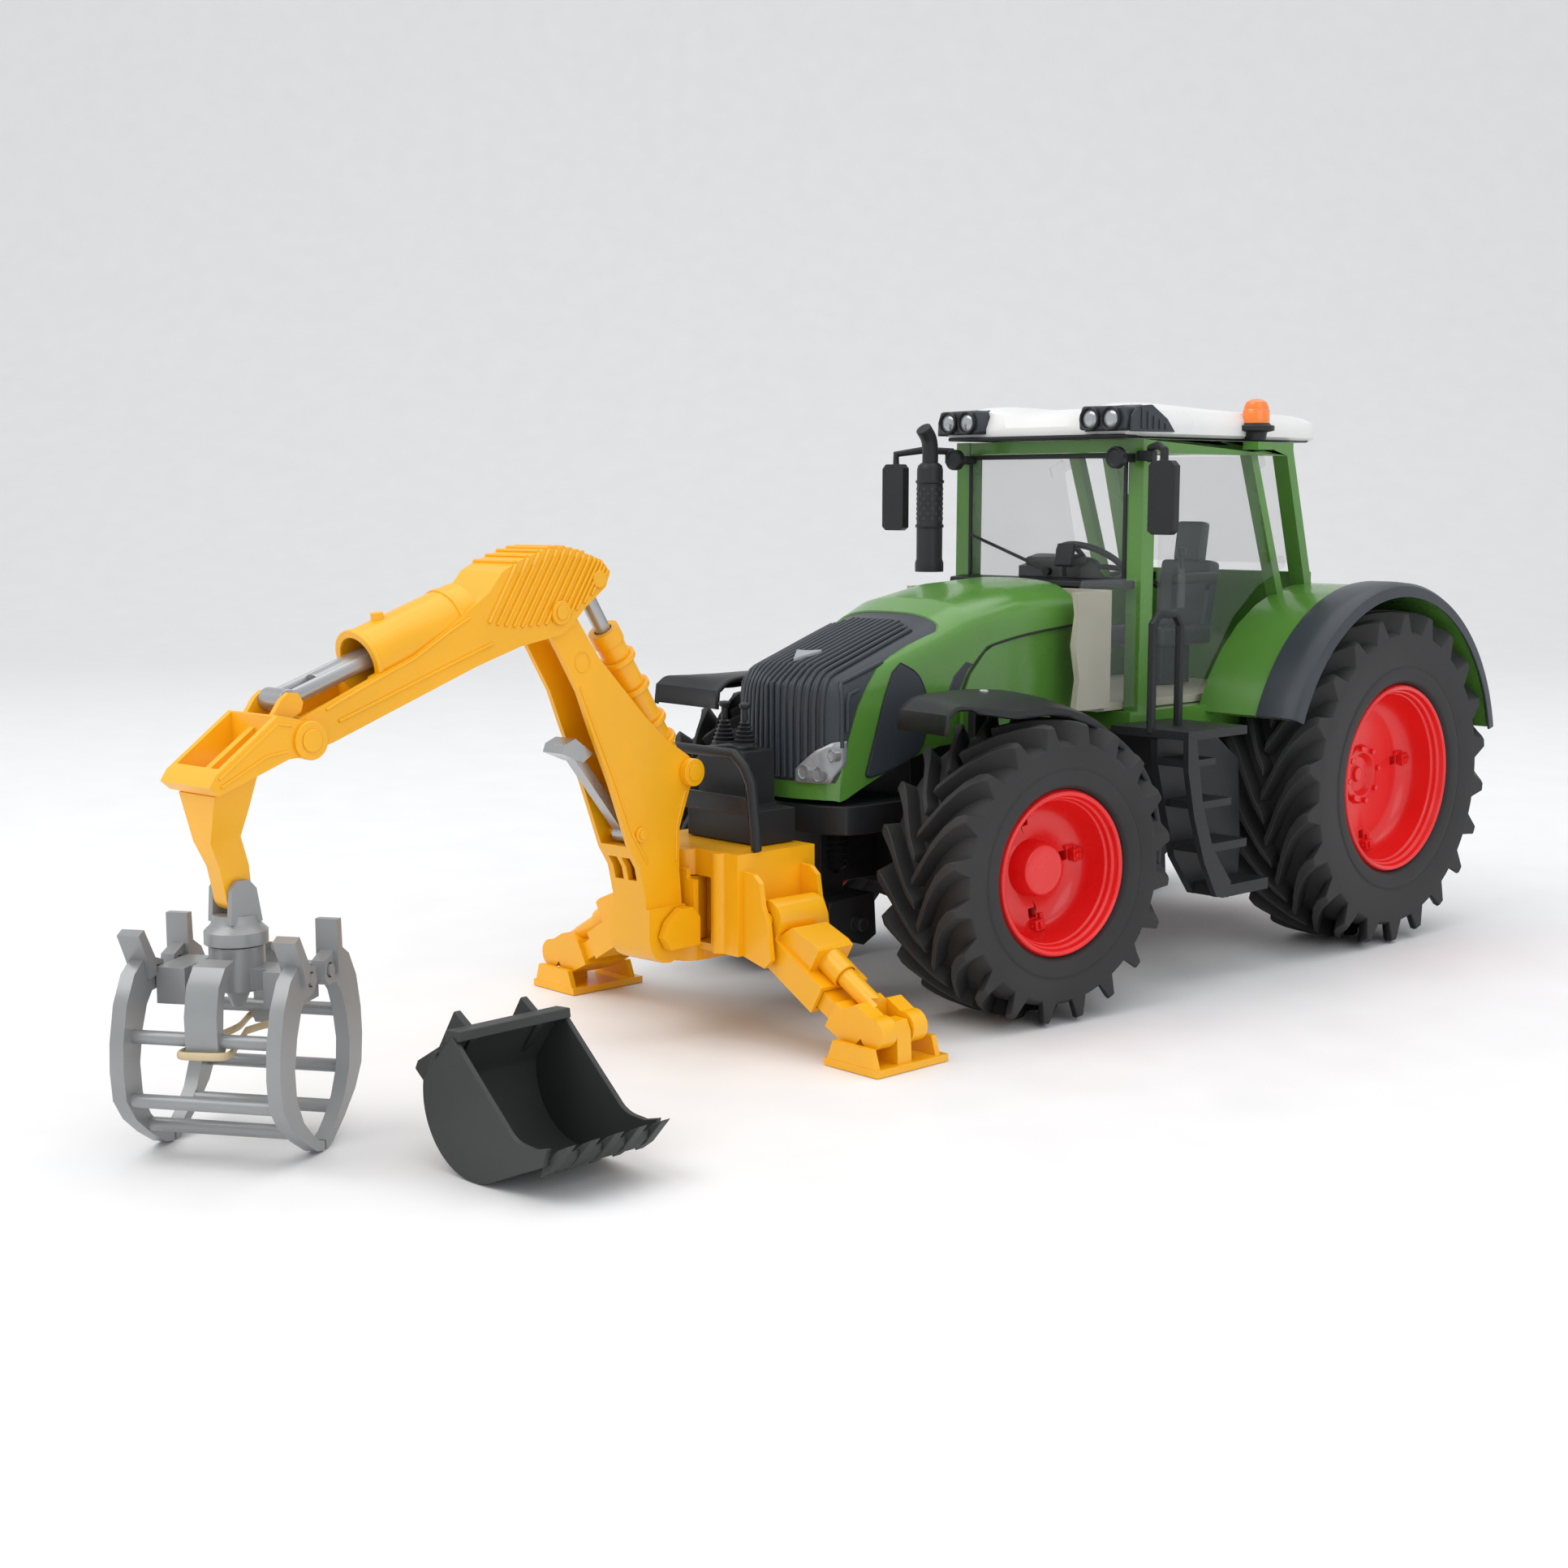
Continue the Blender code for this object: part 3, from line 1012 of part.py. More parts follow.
# ---- assembly -----------------------------------------------------------------------------------
def build():
    clear_scene()
    green = material("green_paint", (0.10, 0.29, 0.05), 0.35)
    yellow = material("yellow_paint", (0.95, 0.50, 0.01), 0.35)
    black = material("black_plastic", (0.022, 0.022, 0.025), 0.5)
    slate = material("slate_plastic", (0.05, 0.058, 0.07), 0.45)
    white = material("roof_white", (0.80, 0.80, 0.78), 0.4)
    beige = material("beige_plastic", (0.52, 0.48, 0.38), 0.5)
    glass = material("clear_plastic", (0.75, 0.78, 0.78), 0.08, alpha=0.35)
    tyre = material("tyre_rubber", (0.045, 0.045, 0.045), 0.75)
    red = material("rim_red", (0.72, 0.01, 0.02), 0.35)
    orange = material("beacon_orange", (0.90, 0.20, 0.02), 0.25)
    silver = material("silver_plastic", (0.33, 0.34, 0.34), 0.4)
    grey = material("bucket_grey", (0.07, 0.075, 0.072), 0.5)

    root = empty("backhoe_tractor", None, (0, 0, 0))
    axle_height = 50.15

    node("chassis_frame", chassis_solid(), black, root)
    node("front_linkage", linkage_solid(), black, root)
    node("cab_body", cab_body_solid(), green, root)
    node("cab_floor", cab_floor_solid(), beige, root)
    node("roof", roof_solid(), white, root)
    node("beacon", beacon_solid(), orange, root)
    node("windscreen", windscreen_solid(), glass, root)
    node("seat", seat_solid(), black, root)
    node("dashboard", dashboard_solid(), black, root)
    node("step_left", step_solid(), black, root)
    node("step_right", mirrored(step_solid()), black, root)
    node("exhaust", exhaust_solid(), black, root)
    node("engine_cover", engine_cover_solid(), green, root)

    hinge = empty("hood_hinge", root, HOOD_HINGE)
    for name, solid, mat in (("hood", hood_solid(), green), ("grille", grille_solid(), slate)):
        obj = node(name, solid, mat, hinge, HOOD_HINGE)
        obj.location = (0, 0, 0)

    wheel_frame = empty("steering_axis", root, STEERING_WHEEL, (STEERING_TILT_DEG, 0, 0))
    node("steering_wheel", steering_wheel_solid(), black, wheel_frame)

    door_pivot = (46.9, -34.2, 166.7)
    node("door_left", door_solid(), glass, root, door_pivot)
    node("door_right", mirrored(door_solid()), glass, root, (-door_pivot[0], door_pivot[1], door_pivot[2]))
    node("rear_window", rear_window_solid(), glass, root, (0, -20.9, 187.3))
    mirror_pivot = (47.4, -111.5, 184)
    node("mirror_left", mirror_solid(), black, root, mirror_pivot)
    node("mirror_right", mirrored(mirror_solid()), black, root, (-47.4, -111.5, 184))

    axle = node("front_axle", axle_solid(), black, root, (0, -WHEELBASE, axle_height))
    node("tie_rod", tie_rod_solid(), black, root, (0, -WHEELBASE + STEER_ARM, 44.6))
    for side, label in ((1, "left"), (-1, "right")):
        kingpin = Vector((side * KINGPIN_X, -WHEELBASE, axle_height))
        steer = empty("steer_" + label, root, kingpin, (0, 0, STEER_REST_DEG))
        rim, rubber = wheel_solids(
            FRONT_WHEEL_X, FRONT_WHEEL_W, FRONT_R, FRONT_RIM_R, -WHEELBASE, axle_height, 63.0, 8.0, 71.0, 3.7
        )
        solids = {"knuckle": knuckle_solid(), "front_fender": front_fender_solid(), "front_rim": rim,
                  "front_tyre": rubber}
        coats = {"knuckle": black, "front_fender": black, "front_rim": red, "front_tyre": tyre}
        for kind, solid in solids.items():
            solid = solid if side > 0 else mirrored(solid)
            spins = kind in ("front_rim", "front_tyre")
            pivot = Vector((side * FRONT_WHEEL_X, -WHEELBASE, axle_height)) if spins else kingpin
            obj = node(kind + "_" + label, solid, coats[kind], steer, pivot)
            obj.location = (pivot - kingpin) * MM
        rim, rubber = wheel_solids(
            REAR_WHEEL_X, REAR_WHEEL_W, REAR_R, REAR_RIM_R, 0.0, REAR_R, 66.0, 10.5, 73.0, 4.4
        )
        hub = (side * REAR_WHEEL_X, 0.0, REAR_R)
        node("rear_rim_" + label, rim if side > 0 else mirrored(rim), red, root, hub)
        node("rear_tyre_" + label, rubber if side > 0 else mirrored(rubber), tyre, root, hub)

    node("carrier", carrier_solid(), yellow, root)
    node("control_console", console_solid(), black, root)
    node("guard_loop", guard_loop_solid(), yellow, root)
    node("lever_left", lever_solid(0.8), black, root, (0.8, LEVER_Y, 91))
    node("lever_right", lever_solid(-9.2), black, root, (-9.2, LEVER_Y, 91))
    for side, label in ((1, "left"), (-1, "right")):
        pivot = (side * LEG_PIVOT[0], LEG_Y, LEG_PIVOT[1])
        foot_pivot = (side * FOOT_PIVOT[0], LEG_Y, FOOT_PIVOT[1])
        for kind, solid, origin in (
            ("leg", leg_solid(), pivot), ("inner", inner_leg_solid(), pivot), ("foot", foot_solid(), foot_pivot),
        ):
            solid = solid if side > 0 else mirrored(solid)
            node("outrigger_" + kind + "_" + label, solid, yellow, root, origin)

    slew = empty("slew_axis", root, (0, SLEW_Y, 0), (0, 0, SLEW_REST_DEG))
    node("slew_block", slew_block_solid(), yellow, slew)
    node("boom", boom_solid(), yellow, slew, at_reach(0, BOOM_PIVOT))
    node("cylinder_barrel", cylinder_barrel_solid(), yellow, slew, at_reach(0, CYLINDER_FOOT))
    node("cylinder_rod", cylinder_rod_solid(), silver, slew, at_reach(0, CYLINDER_HEAD))
    node("boom_stay", boom_stay_solid(), silver, slew, at_reach(0, STAY_PIVOT))
    node("stick", stick_solid(), yellow, slew, at_reach(0, STICK_PIVOT))
    node("ram_rod", ram_rod_solid(), silver, slew, at_reach(0, RAM_EYE))
    node("link", link_solid(), yellow, slew, at_reach(0, LINK_PIVOT))
    node("hook", hook_solid(), silver, slew, at_reach(0, LINK_PIVOT))
    node("grapple_head", grapple_head_solid(), silver, slew, (0, -HEAD_S, HEAD_PIVOT_Z))

    turn = empty("rotator_axis", slew, (0, -GRAPPLE_S, 0), (0, 0, GRAPPLE_TURN_DEG))
    node("grapple_beam", grapple_beam_solid(), silver, turn)
    near_tab = [(8.9, 47.5), (9.4, 52.4), (14.8, 60.6), (17.6, 59.4), (13.2, 51.6), (12, 47)]
    far_tab = [(8.7, 46), (8.7, 60.6), (11.2, 60.6), (12, 46)]
    node("jaw_near", jaw_solid(near_tab), silver, turn, (0, -JAW_PIVOT[0], JAW_PIVOT[1]))
    far = jaw_solid(far_tab)
    bmesh.ops.rotate(far, cent=(0, 0, 0), matrix=Matrix.Rotation(math.pi, 3, "Z"), verts=far.verts)
    node("jaw_far", far, silver, turn, (0, JAW_PIVOT[0], JAW_PIVOT[1]))

    place = empty("bucket_place", root, (*BUCKET_PLACE, 0), (0, 0, BUCKET_TURN_DEG))
    node("bucket", bucket_solid(), grey, place)
    return root, axle


def centre_on_floor(root):
    """Move the assembly so that its box stands on the floor, centred on the origin."""
    bpy.context.view_layer.update()
    low, high = Vector((1e9, 1e9, 1e9)), Vector((-1e9, -1e9, -1e9))
    for obj in bpy.data.objects:
        if obj.type != "MESH":
            continue
        for v in obj.data.vertices:
            world = obj.matrix_world @ v.co
            low = Vector(map(min, low, world))
            high = Vector(map(max, high, world))
    root.location = Vector((-(low.x + high.x) / 2, -(low.y + high.y) / 2, -low.z))
    bpy.context.view_layer.update()


ROOT, FRONT_AXLE = build()
centre_on_floor(ROOT)
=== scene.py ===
import math

import bmesh
import bpy
from mathutils import Matrix, Vector


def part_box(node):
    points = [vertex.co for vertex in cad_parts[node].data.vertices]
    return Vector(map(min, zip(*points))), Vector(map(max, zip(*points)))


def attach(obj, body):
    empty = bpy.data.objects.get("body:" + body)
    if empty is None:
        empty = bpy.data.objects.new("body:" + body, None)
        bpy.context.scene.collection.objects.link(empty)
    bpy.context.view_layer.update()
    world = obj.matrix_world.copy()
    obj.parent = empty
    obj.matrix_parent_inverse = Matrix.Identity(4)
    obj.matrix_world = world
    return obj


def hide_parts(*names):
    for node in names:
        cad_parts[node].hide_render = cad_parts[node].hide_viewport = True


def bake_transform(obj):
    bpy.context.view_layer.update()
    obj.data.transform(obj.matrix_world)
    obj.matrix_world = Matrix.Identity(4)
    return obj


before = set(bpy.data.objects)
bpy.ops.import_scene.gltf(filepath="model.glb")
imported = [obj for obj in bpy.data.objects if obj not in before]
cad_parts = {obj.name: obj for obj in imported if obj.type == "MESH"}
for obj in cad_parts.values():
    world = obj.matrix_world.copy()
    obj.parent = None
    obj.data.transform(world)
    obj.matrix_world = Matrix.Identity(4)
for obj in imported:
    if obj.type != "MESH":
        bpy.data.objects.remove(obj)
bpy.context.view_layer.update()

MM = 0.001

# ---- the CAD's own frames: the tractor's found from the rear tyres' boxes, the others set from it by given offsets and turns
_left, _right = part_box("rear_tyre_left"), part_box("rear_tyre_right")
MID_X = (_left[1].x + _right[0].x) / 2
AXLE_Y = (_left[0].y + _left[1].y) / 2
TRACTOR = Matrix.Translation((MID_X, AXLE_Y, 0))
SLEW_Y = -288.0
ARM = TRACTOR @ Matrix.Translation((0, SLEW_Y * MM, 0)) @ Matrix.Rotation(math.radians(5), 4, "Z")
GRAPPLE = ARM @ Matrix.Translation((0, -170 * MM, 0)) @ Matrix.Rotation(math.radians(30), 4, "Z")
BUCKET = TRACTOR @ Matrix.Translation((87.6 * MM, -431.2 * MM, 0)) @ Matrix.Rotation(math.radians(3), 4, "Z")
WHEELBASE = 190.7
KINGPIN_X = 40.0
STEER = math.radians(-6.2)


def steer_frame(side):
    """The drawing frame of a steered corner: tractor coordinates turned about its kingpin."""
    pin = Vector((side * KINGPIN_X * MM, -WHEELBASE * MM, 0))
    return TRACTOR @ Matrix.Translation(pin) @ Matrix.Rotation(STEER, 4, "Z") @ Matrix.Translation(-pin)


# ---- materials
def node_material(name, rgb, rough, variation=0.06, grain=900.0, bump=0.03, metallic=0.0, coat=0.0,
                  blotch=30.0, rough_spread=0.08):
    """Moulded plastic: base colour with faint blotches, fine surface grain and uneven gloss."""
    mat = bpy.data.materials.new(name)
    mat.use_nodes = True
    nt = mat.node_tree
    bsdf = nt.nodes["Principled BSDF"]
    bsdf.inputs["Metallic"].default_value = metallic
    bsdf.inputs["Coat Weight"].default_value = coat
    bsdf.inputs["Specular IOR Level"].default_value = 0.5 if coat or metallic else 0.32
    bsdf.inputs["Coat Roughness"].default_value = 0.12
    coords = nt.nodes.new("ShaderNodeTexCoord")
    noise = nt.nodes.new("ShaderNodeTexNoise")
    noise.inputs["Scale"].default_value = blotch
    noise.inputs["Detail"].default_value = 4.0
    nt.links.new(coords.outputs["Object"], noise.inputs["Vector"])
    ramp = nt.nodes.new("ShaderNodeValToRGB")
    lo = [max(0.0, c * (1 - variation)) for c in rgb]
    hi = [min(1.0, c * (1 + variation)) for c in rgb]
    ramp.color_ramp.elements[0].position = 0.35
    ramp.color_ramp.elements[0].color = (*lo, 1)
    ramp.color_ramp.elements[1].position = 0.65
    ramp.color_ramp.elements[1].color = (*hi, 1)
    nt.links.new(noise.outputs["Fac"], ramp.inputs["Fac"])
    nt.links.new(ramp.outputs["Color"], bsdf.inputs["Base Color"])
    spread = nt.nodes.new("ShaderNodeMapRange")
    spread.inputs["From Min"].default_value = 0.3
    spread.inputs["From Max"].default_value = 0.7
    spread.inputs["To Min"].default_value = max(0.02, rough - rough_spread)
    spread.inputs["To Max"].default_value = min(1.0, rough + rough_spread)
    fine = nt.nodes.new("ShaderNodeTexNoise")
    fine.inputs["Scale"].default_value = grain
    fine.inputs["Detail"].default_value = 3.0
    nt.links.new(coords.outputs["Object"], fine.inputs["Vector"])
    nt.links.new(noise.outputs["Fac"], spread.inputs["Value"])
    nt.links.new(spread.outputs["Result"], bsdf.inputs["Roughness"])
    bump_node = nt.nodes.new("ShaderNodeBump")
    bump_node.inputs["Strength"].default_value = bump
    bump_node.inputs["Distance"].default_value = 0.0004
    nt.links.new(fine.outputs["Fac"], bump_node.inputs["Height"])
    nt.links.new(bump_node.outputs["Normal"], bsdf.inputs["Normal"])
    return mat


def clear_material(name, rgb, rough, alpha):
    """Thin clear plastic, seen through with a faint tint and a glossy face."""
    mat = node_material(name, rgb, rough, variation=0.03, bump=0.01, rough_spread=0.03)
    bsdf = mat.node_tree.nodes["Principled BSDF"]
    bsdf.inputs["Alpha"].default_value = alpha
    bsdf.inputs["Specular IOR Level"].default_value = 0.6
    return mat


MATS = {
    "green": node_material("green_gloss", (0.088, 0.245, 0.036), 0.27, 0.05, coat=0.35),
    "yellow": node_material("yellow_gloss", (0.92, 0.44, 0.002), 0.34, 0.04, coat=0.2),
    "black": node_material("black_moulded", (0.018, 0.019, 0.021), 0.42, 0.15, bump=0.06),
    "slate": node_material("slate_moulded", (0.040, 0.048, 0.058), 0.36, 0.08, bump=0.04),
    "white": node_material("roof_white", (0.80, 0.80, 0.79), 0.33, 0.02, coat=0.2),
    "beige": node_material("beige_moulded", (0.50, 0.47, 0.38), 0.5, 0.04),
    "rubber": node_material("tyre_rubber", (0.030, 0.030, 0.031), 0.62, 0.18, grain=700, bump=0.12),
    "red": node_material("rim_red", (0.80, 0.012, 0.012), 0.30, 0.05, coat=0.3),
    "orange": node_material("beacon_orange", (0.95, 0.22, 0.02), 0.2, 0.06, coat=0.5),
    "silver": node_material("silver_grey", (0.30, 0.31, 0.315), 0.36, 0.06, metallic=0.25, coat=0.15),
    "chrome": node_material("rod_silver", (0.42, 0.43, 0.44), 0.26, 0.05, metallic=0.7),
    "dark": node_material("bucket_grey", (0.040, 0.044, 0.043), 0.5, 0.08, bump=0.05),
    "lens": node_material("lamp_grey", (0.40, 0.42, 0.44), 0.16, 0.08, metallic=0.5, coat=0.5),
    "lamp": node_material("headlamp_grey", (0.30, 0.32, 0.34), 0.22, 0.06, metallic=0.2, coat=0.5),
    "band": node_material("rubber_band", (0.62, 0.50, 0.30), 0.55, 0.08),
    "glass": clear_material("clear_plastic", (0.30, 0.33, 0.32), 0.05, 0.10),
    "hinge": clear_material("clear_hinge", (0.55, 0.56, 0.53), 0.12, 0.45),
}


# ---- mesh helpers, in millimetres
def box(x0, x1, y0, y1, z0, z1):
    bm = bmesh.new()
    bmesh.ops.create_cube(bm, size=1.0)
    for v in bm.verts:
        v.co = (x0 if v.co.x < 0 else x1, y0 if v.co.y < 0 else y1, z0 if v.co.z < 0 else z1)
    return bm


def prism(outline, lo, hi, axis="X"):
    bm = bmesh.new()
    put = {
        "X": lambda a, b, t: (t, a, b),
        "Y": lambda a, b, t: (a, t, b),
        "Z": lambda a, b, t: (a, b, t),
    }[axis]
    low = [bm.verts.new(put(a, b, lo)) for a, b in outline]
    high = [bm.verts.new(put(a, b, hi)) for a, b in outline]
    bm.faces.new(low)
    bm.faces.new(high)
    for i in range(len(outline)):
        j = (i + 1) % len(outline)
        bm.faces.new((low[i], low[j], high[j], high[i]))
    bmesh.ops.recalc_face_normals(bm, faces=bm.faces)
    return bm


def grid_skin(rows, closed_u=False, closed_v=False):
    """A sheet through rows of points."""
    bm = bmesh.new()
    verts = [[bm.verts.new(p) for p in row] for row in rows]
    nu, nv = len(verts), len(verts[0])
    for i in range(nu if closed_u else nu - 1):
        for j in range(nv if closed_v else nv - 1):
            a, b = verts[i][j], verts[i][(j + 1) % nv]
            c, d = verts[(i + 1) % nu][(j + 1) % nv], verts[(i + 1) % nu][j]
            bm.faces.new((a, b, c, d))
    return bm


def lathe(profile, segments, axis="X", centre=(0, 0, 0), closed=True):
    rows = []
    for along, radius in profile:
        row = []
        for k in range(segments):
            t = 2 * math.pi * k / segments
            c, s = radius * math.cos(t), radius * math.sin(t)
            p = {"X": (along, c, s), "Y": (c, along, s), "Z": (c, s, along)}[axis]
            row.append(Vector(p) + Vector(centre))
        rows.append(row)
    bm = grid_skin(rows, closed_u=closed, closed_v=True)
    bmesh.ops.remove_doubles(bm, verts=bm.verts, dist=1e-4)
    bmesh.ops.recalc_face_normals(bm, faces=bm.faces)
    return bm


def rod(start, end, radius, sides=24, radius2=None):
    start, end = Vector(start), Vector(end)
    bm = bmesh.new()
    bmesh.ops.create_cone(bm, cap_ends=True, segments=sides, radius1=radius,
                          radius2=radius if radius2 is None else radius2, depth=(end - start).length)
    turn = Vector((0, 0, 1)).rotation_difference(end - start).to_matrix().to_4x4()
    bmesh.ops.transform(bm, matrix=Matrix.Translation((start + end) / 2) @ turn, verts=bm.verts)
    return bm


def smooth_path(points, per=8):
    """Catmull-Rom curve through the points."""
    pts = [Vector(p) for p in points]
    pts = [pts[0] * 2 - pts[1]] + pts + [pts[-1] * 2 - pts[-2]]
    out = []
    for i in range(1, len(pts) - 2):
        p0, p1, p2, p3 = pts[i - 1:i + 3]
        for k in range(per):
            t = k / per
            out.append(0.5 * ((2 * p1) + (p2 - p0) * t + (2 * p0 - 5 * p1 + 4 * p2 - p3) * t * t
                              + (3 * p1 - p0 - 3 * p2 + p3) * t ** 3))
    out.append(pts[-2])
    return out


def tube(path, radius, sides=14, flat=1.0, closed=False):
    """A round or flattened tube along a path; radius may be a list."""
    pts = [Vector(p) for p in path]
    n = len(pts)
    rows = []
    normal = None
    for i, p in enumerate(pts):
        a = pts[(i - 1) % n] if closed else pts[max(i - 1, 0)]
        b = pts[(i + 1) % n] if closed else pts[min(i + 1, n - 1)]
        tangent = (b - a).normalized()
        if normal is None:
            guess = Vector((0, 0, 1)) if abs(tangent.z) < 0.9 else Vector((1, 0, 0))
            normal = tangent.cross(guess).normalized()
        normal = (normal - tangent * normal.dot(tangent)).normalized()
        other = tangent.cross(normal)
        r = radius[i] if isinstance(radius, list) else radius
        rows.append([p + normal * (r * math.cos(2 * math.pi * k / sides))
                     + other * (r * flat * math.sin(2 * math.pi * k / sides)) for k in range(sides)])
    bm = grid_skin(rows, closed_u=closed, closed_v=True)
    if not closed:
        bm.verts.ensure_lookup_table()
        bm.faces.new(bm.verts[:sides])
        bm.faces.new(bm.verts[-sides:])
    bmesh.ops.recalc_face_normals(bm, faces=bm.faces)
    return bm


def loft(sections, cap=True):
    bm = grid_skin(sections, closed_v=True)
    if cap:
        n = len(sections[0])
        bm.verts.ensure_lookup_table()
        bm.faces.new(bm.verts[:n])
        bm.faces.new(bm.verts[-n:])
    bmesh.ops.recalc_face_normals(bm, faces=bm.faces)
    return bm


def arc(centre, radius, a0, a1, steps):
    angles = [math.radians(a0 + (a1 - a0) * k / steps) for k in range(steps + 1)]
    return [(centre[0] + radius * math.cos(a), centre[1] + radius * math.sin(a)) for a in angles]


def join(parts):
    """Several shapes as one mesh; the first is the base."""
    base = parts[0]
    for extra in parts[1:]:
        mesh = bpy.data.meshes.new("joined")
        extra.to_mesh(mesh)
        extra.free()
        base.from_mesh(mesh)
        bpy.data.meshes.remove(mesh)
    return base


def flipped(bm):
    """The same shape on the tractor's other side."""
    for v in bm.verts:
        v.co.x = -v.co.x
    bmesh.ops.reverse_faces(bm, faces=bm.faces)
    return bm


def forward(points):
    """An outline in reach and height, turned to the arm's -Y direction."""
    return [(-s, z) for s, z in points]


def at_reach(lateral, sz):
    """A point on the arm from its place across, its reach forward and its height."""
    return (lateral, -sz[0], sz[1])


def reach_tube(lateral, line, radius):
    """A thin raised line on the face of an arm plate."""
    return tube([at_reach(lateral, p) for p in line], radius, 8)


def circle_point(radius, degrees, z=0.0):
    return (radius * math.cos(math.radians(degrees)), radius * math.sin(math.radians(degrees)), z)


def aimed(bm, direction, place):
    """A shape drawn along X, turned to a direction and moved to its place."""
    turn = Vector((1, 0, 0)).rotation_difference(Vector(direction)).to_matrix().to_4x4()
    bmesh.ops.transform(bm, matrix=Matrix.Translation(place) @ turn, verts=bm.verts)
    return bm


def finish_mesh(obj, bevel, solid):
    if solid:
        mod = obj.modifiers.new("skin", "SOLIDIFY")
        mod.thickness = solid * MM
        mod.offset = -1
    if bevel:
        mod = obj.modifiers.new("edges", "BEVEL")
        mod.width = bevel * MM
        mod.segments = 2
        mod.limit_method = "ANGLE"
        mod.angle_limit = math.radians(BEVEL_ANGLE)
        mod.use_clamp_overlap = True
        mod.harden_normals = False


SMOOTH_ANGLE, BEVEL_ANGLE, KEPT_BEVEL_ANGLE = 38, 32, 34


def piece(name, bm, mat, body, where=TRACTOR, replaces=(), bevel=0.35, solid=0.0):
    """One visible piece, drawn in millimetres in its own frame, riding on a CAD body."""
    mesh = bpy.data.meshes.new(name)
    bm.to_mesh(mesh)
    bm.free()
    mesh.transform(where @ Matrix.Scale(MM, 4))
    mesh.materials.append(MATS[mat])
    mesh.shade_smooth()
    mesh.set_sharp_from_angle(angle=math.radians(SMOOTH_ANGLE))
    obj = bpy.data.objects.new(name, mesh)
    bpy.context.scene.collection.objects.link(obj)
    finish_mesh(obj, bevel, solid)
    if body:
        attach(obj, body)
    if replaces:
        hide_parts(*replaces)
    return obj


# ---- CAD nodes that stay: softened edges and real surfaces
KEPT = {
    "black": (
        "chassis_frame", "front_linkage", "dashboard", "step_left", "step_right", "mirror_left",
        "mirror_right", "front_axle", "knuckle_left", "knuckle_right", "tie_rod", "control_console",
        "guard_loop",
    ),
    "green": ("cab_body", "engine_cover",),
    "beige": ("cab_floor",),
    "glass": ("door_left", "door_right", "rear_window",),
    "yellow": (
        "carrier", "slew_block", "boom", "cylinder_barrel", "stick", "link", "hook", "outrigger_leg_left",
        "outrigger_leg_right", "outrigger_inner_left", "outrigger_inner_right", "outrigger_foot_left",
        "outrigger_foot_right",
    ),
    "chrome": ("cylinder_rod", "boom_stay",),
    "silver": ("grapple_head", "grapple_beam", "jaw_near", "jaw_far",),
}


def soften(name, mat, width):
    """A CAD node kept as it is: a real surface and slightly rounded edges."""
    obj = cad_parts[name]
    obj.data.materials.clear()
    obj.data.materials.append(MATS[mat])
    weld = obj.modifiers.new("weld", "WELD")
    weld.merge_threshold = 0.00002
    flat = obj.modifiers.new("flat", "DECIMATE")
    flat.decimate_type = "DISSOLVE"
    flat.angle_limit = math.radians(1.0)
    edges = obj.modifiers.new("edges", "BEVEL")
    edges.width = width * MM
    edges.segments = 2
    edges.limit_method = "ANGLE"
    edges.angle_limit = math.radians(KEPT_BEVEL_ANGLE)
    shade = obj.modifiers.new("shade", "WEIGHTED_NORMAL")
    shade.keep_sharp = False
    for poly in obj.data.polygons:
        poly.use_smooth = True


GLASS_EDGE, MOULDED_EDGE = 0.25, 0.45
for mat_name, node_names in KEPT.items():
    for node_name in node_names:
        soften(node_name, mat_name, GLASS_EDGE if mat_name == "glass" else MOULDED_EDGE)


def carve(bm, cutters, keep_inside=False):
    """The shape less the cutters, or only what is inside the one cutter."""
    mesh = bpy.data.meshes.new("work")
    bm.to_mesh(mesh)
    bm.free()
    work = bpy.data.objects.new("work", mesh)
    bpy.context.scene.collection.objects.link(work)
    tools = []
    for cutter in cutters:
        tool_mesh = bpy.data.meshes.new("tool")
        cutter.to_mesh(tool_mesh)
        cutter.free()
        tool = bpy.data.objects.new("tool", tool_mesh)
        bpy.context.scene.collection.objects.link(tool)
        tools.append(tool)
        mod = work.modifiers.new("cut", "BOOLEAN")
        mod.operation = "INTERSECT" if keep_inside else "DIFFERENCE"
        mod.solver = "EXACT"
        mod.object = tool
    bpy.context.view_layer.update()
    out = bmesh.new()
    out.from_object(work, bpy.context.evaluated_depsgraph_get())
    for obj in tools + [work]:
        data = obj.data
        bpy.data.objects.remove(obj)
        bpy.data.meshes.remove(data)
    return out


# ---- wheels
def carcass(cx, width, radius, bead, depth):
    """Tyre body under its lugs: flat sidewalls, a rounded shoulder and a crowned tread."""
    half = width / 2
    valley = radius - depth - 2.6
    crown = radius - depth
    profile = [
        (-half + 2.6, bead - 0.2), (-half + 0.6, bead + 1.2), (-half, bead + 3.4), (-half, bead + 6.0),
        (-half + 0.5, bead + 6.5), (-half + 0.1, bead + 7.2), (-half, valley),
        (-half + 1.6, valley + 1.2), (-half + 5.0, valley + 2.0), (-half * 0.45, crown - 0.2), (0, crown),
    ]
    profile += [(-x, r) for x, r in reversed(profile[:-1])]
    profile += [(half - 6, bead - 0.2), (-half + 6, bead - 0.2)]
    return [(cx + x, r) for x, r in profile]


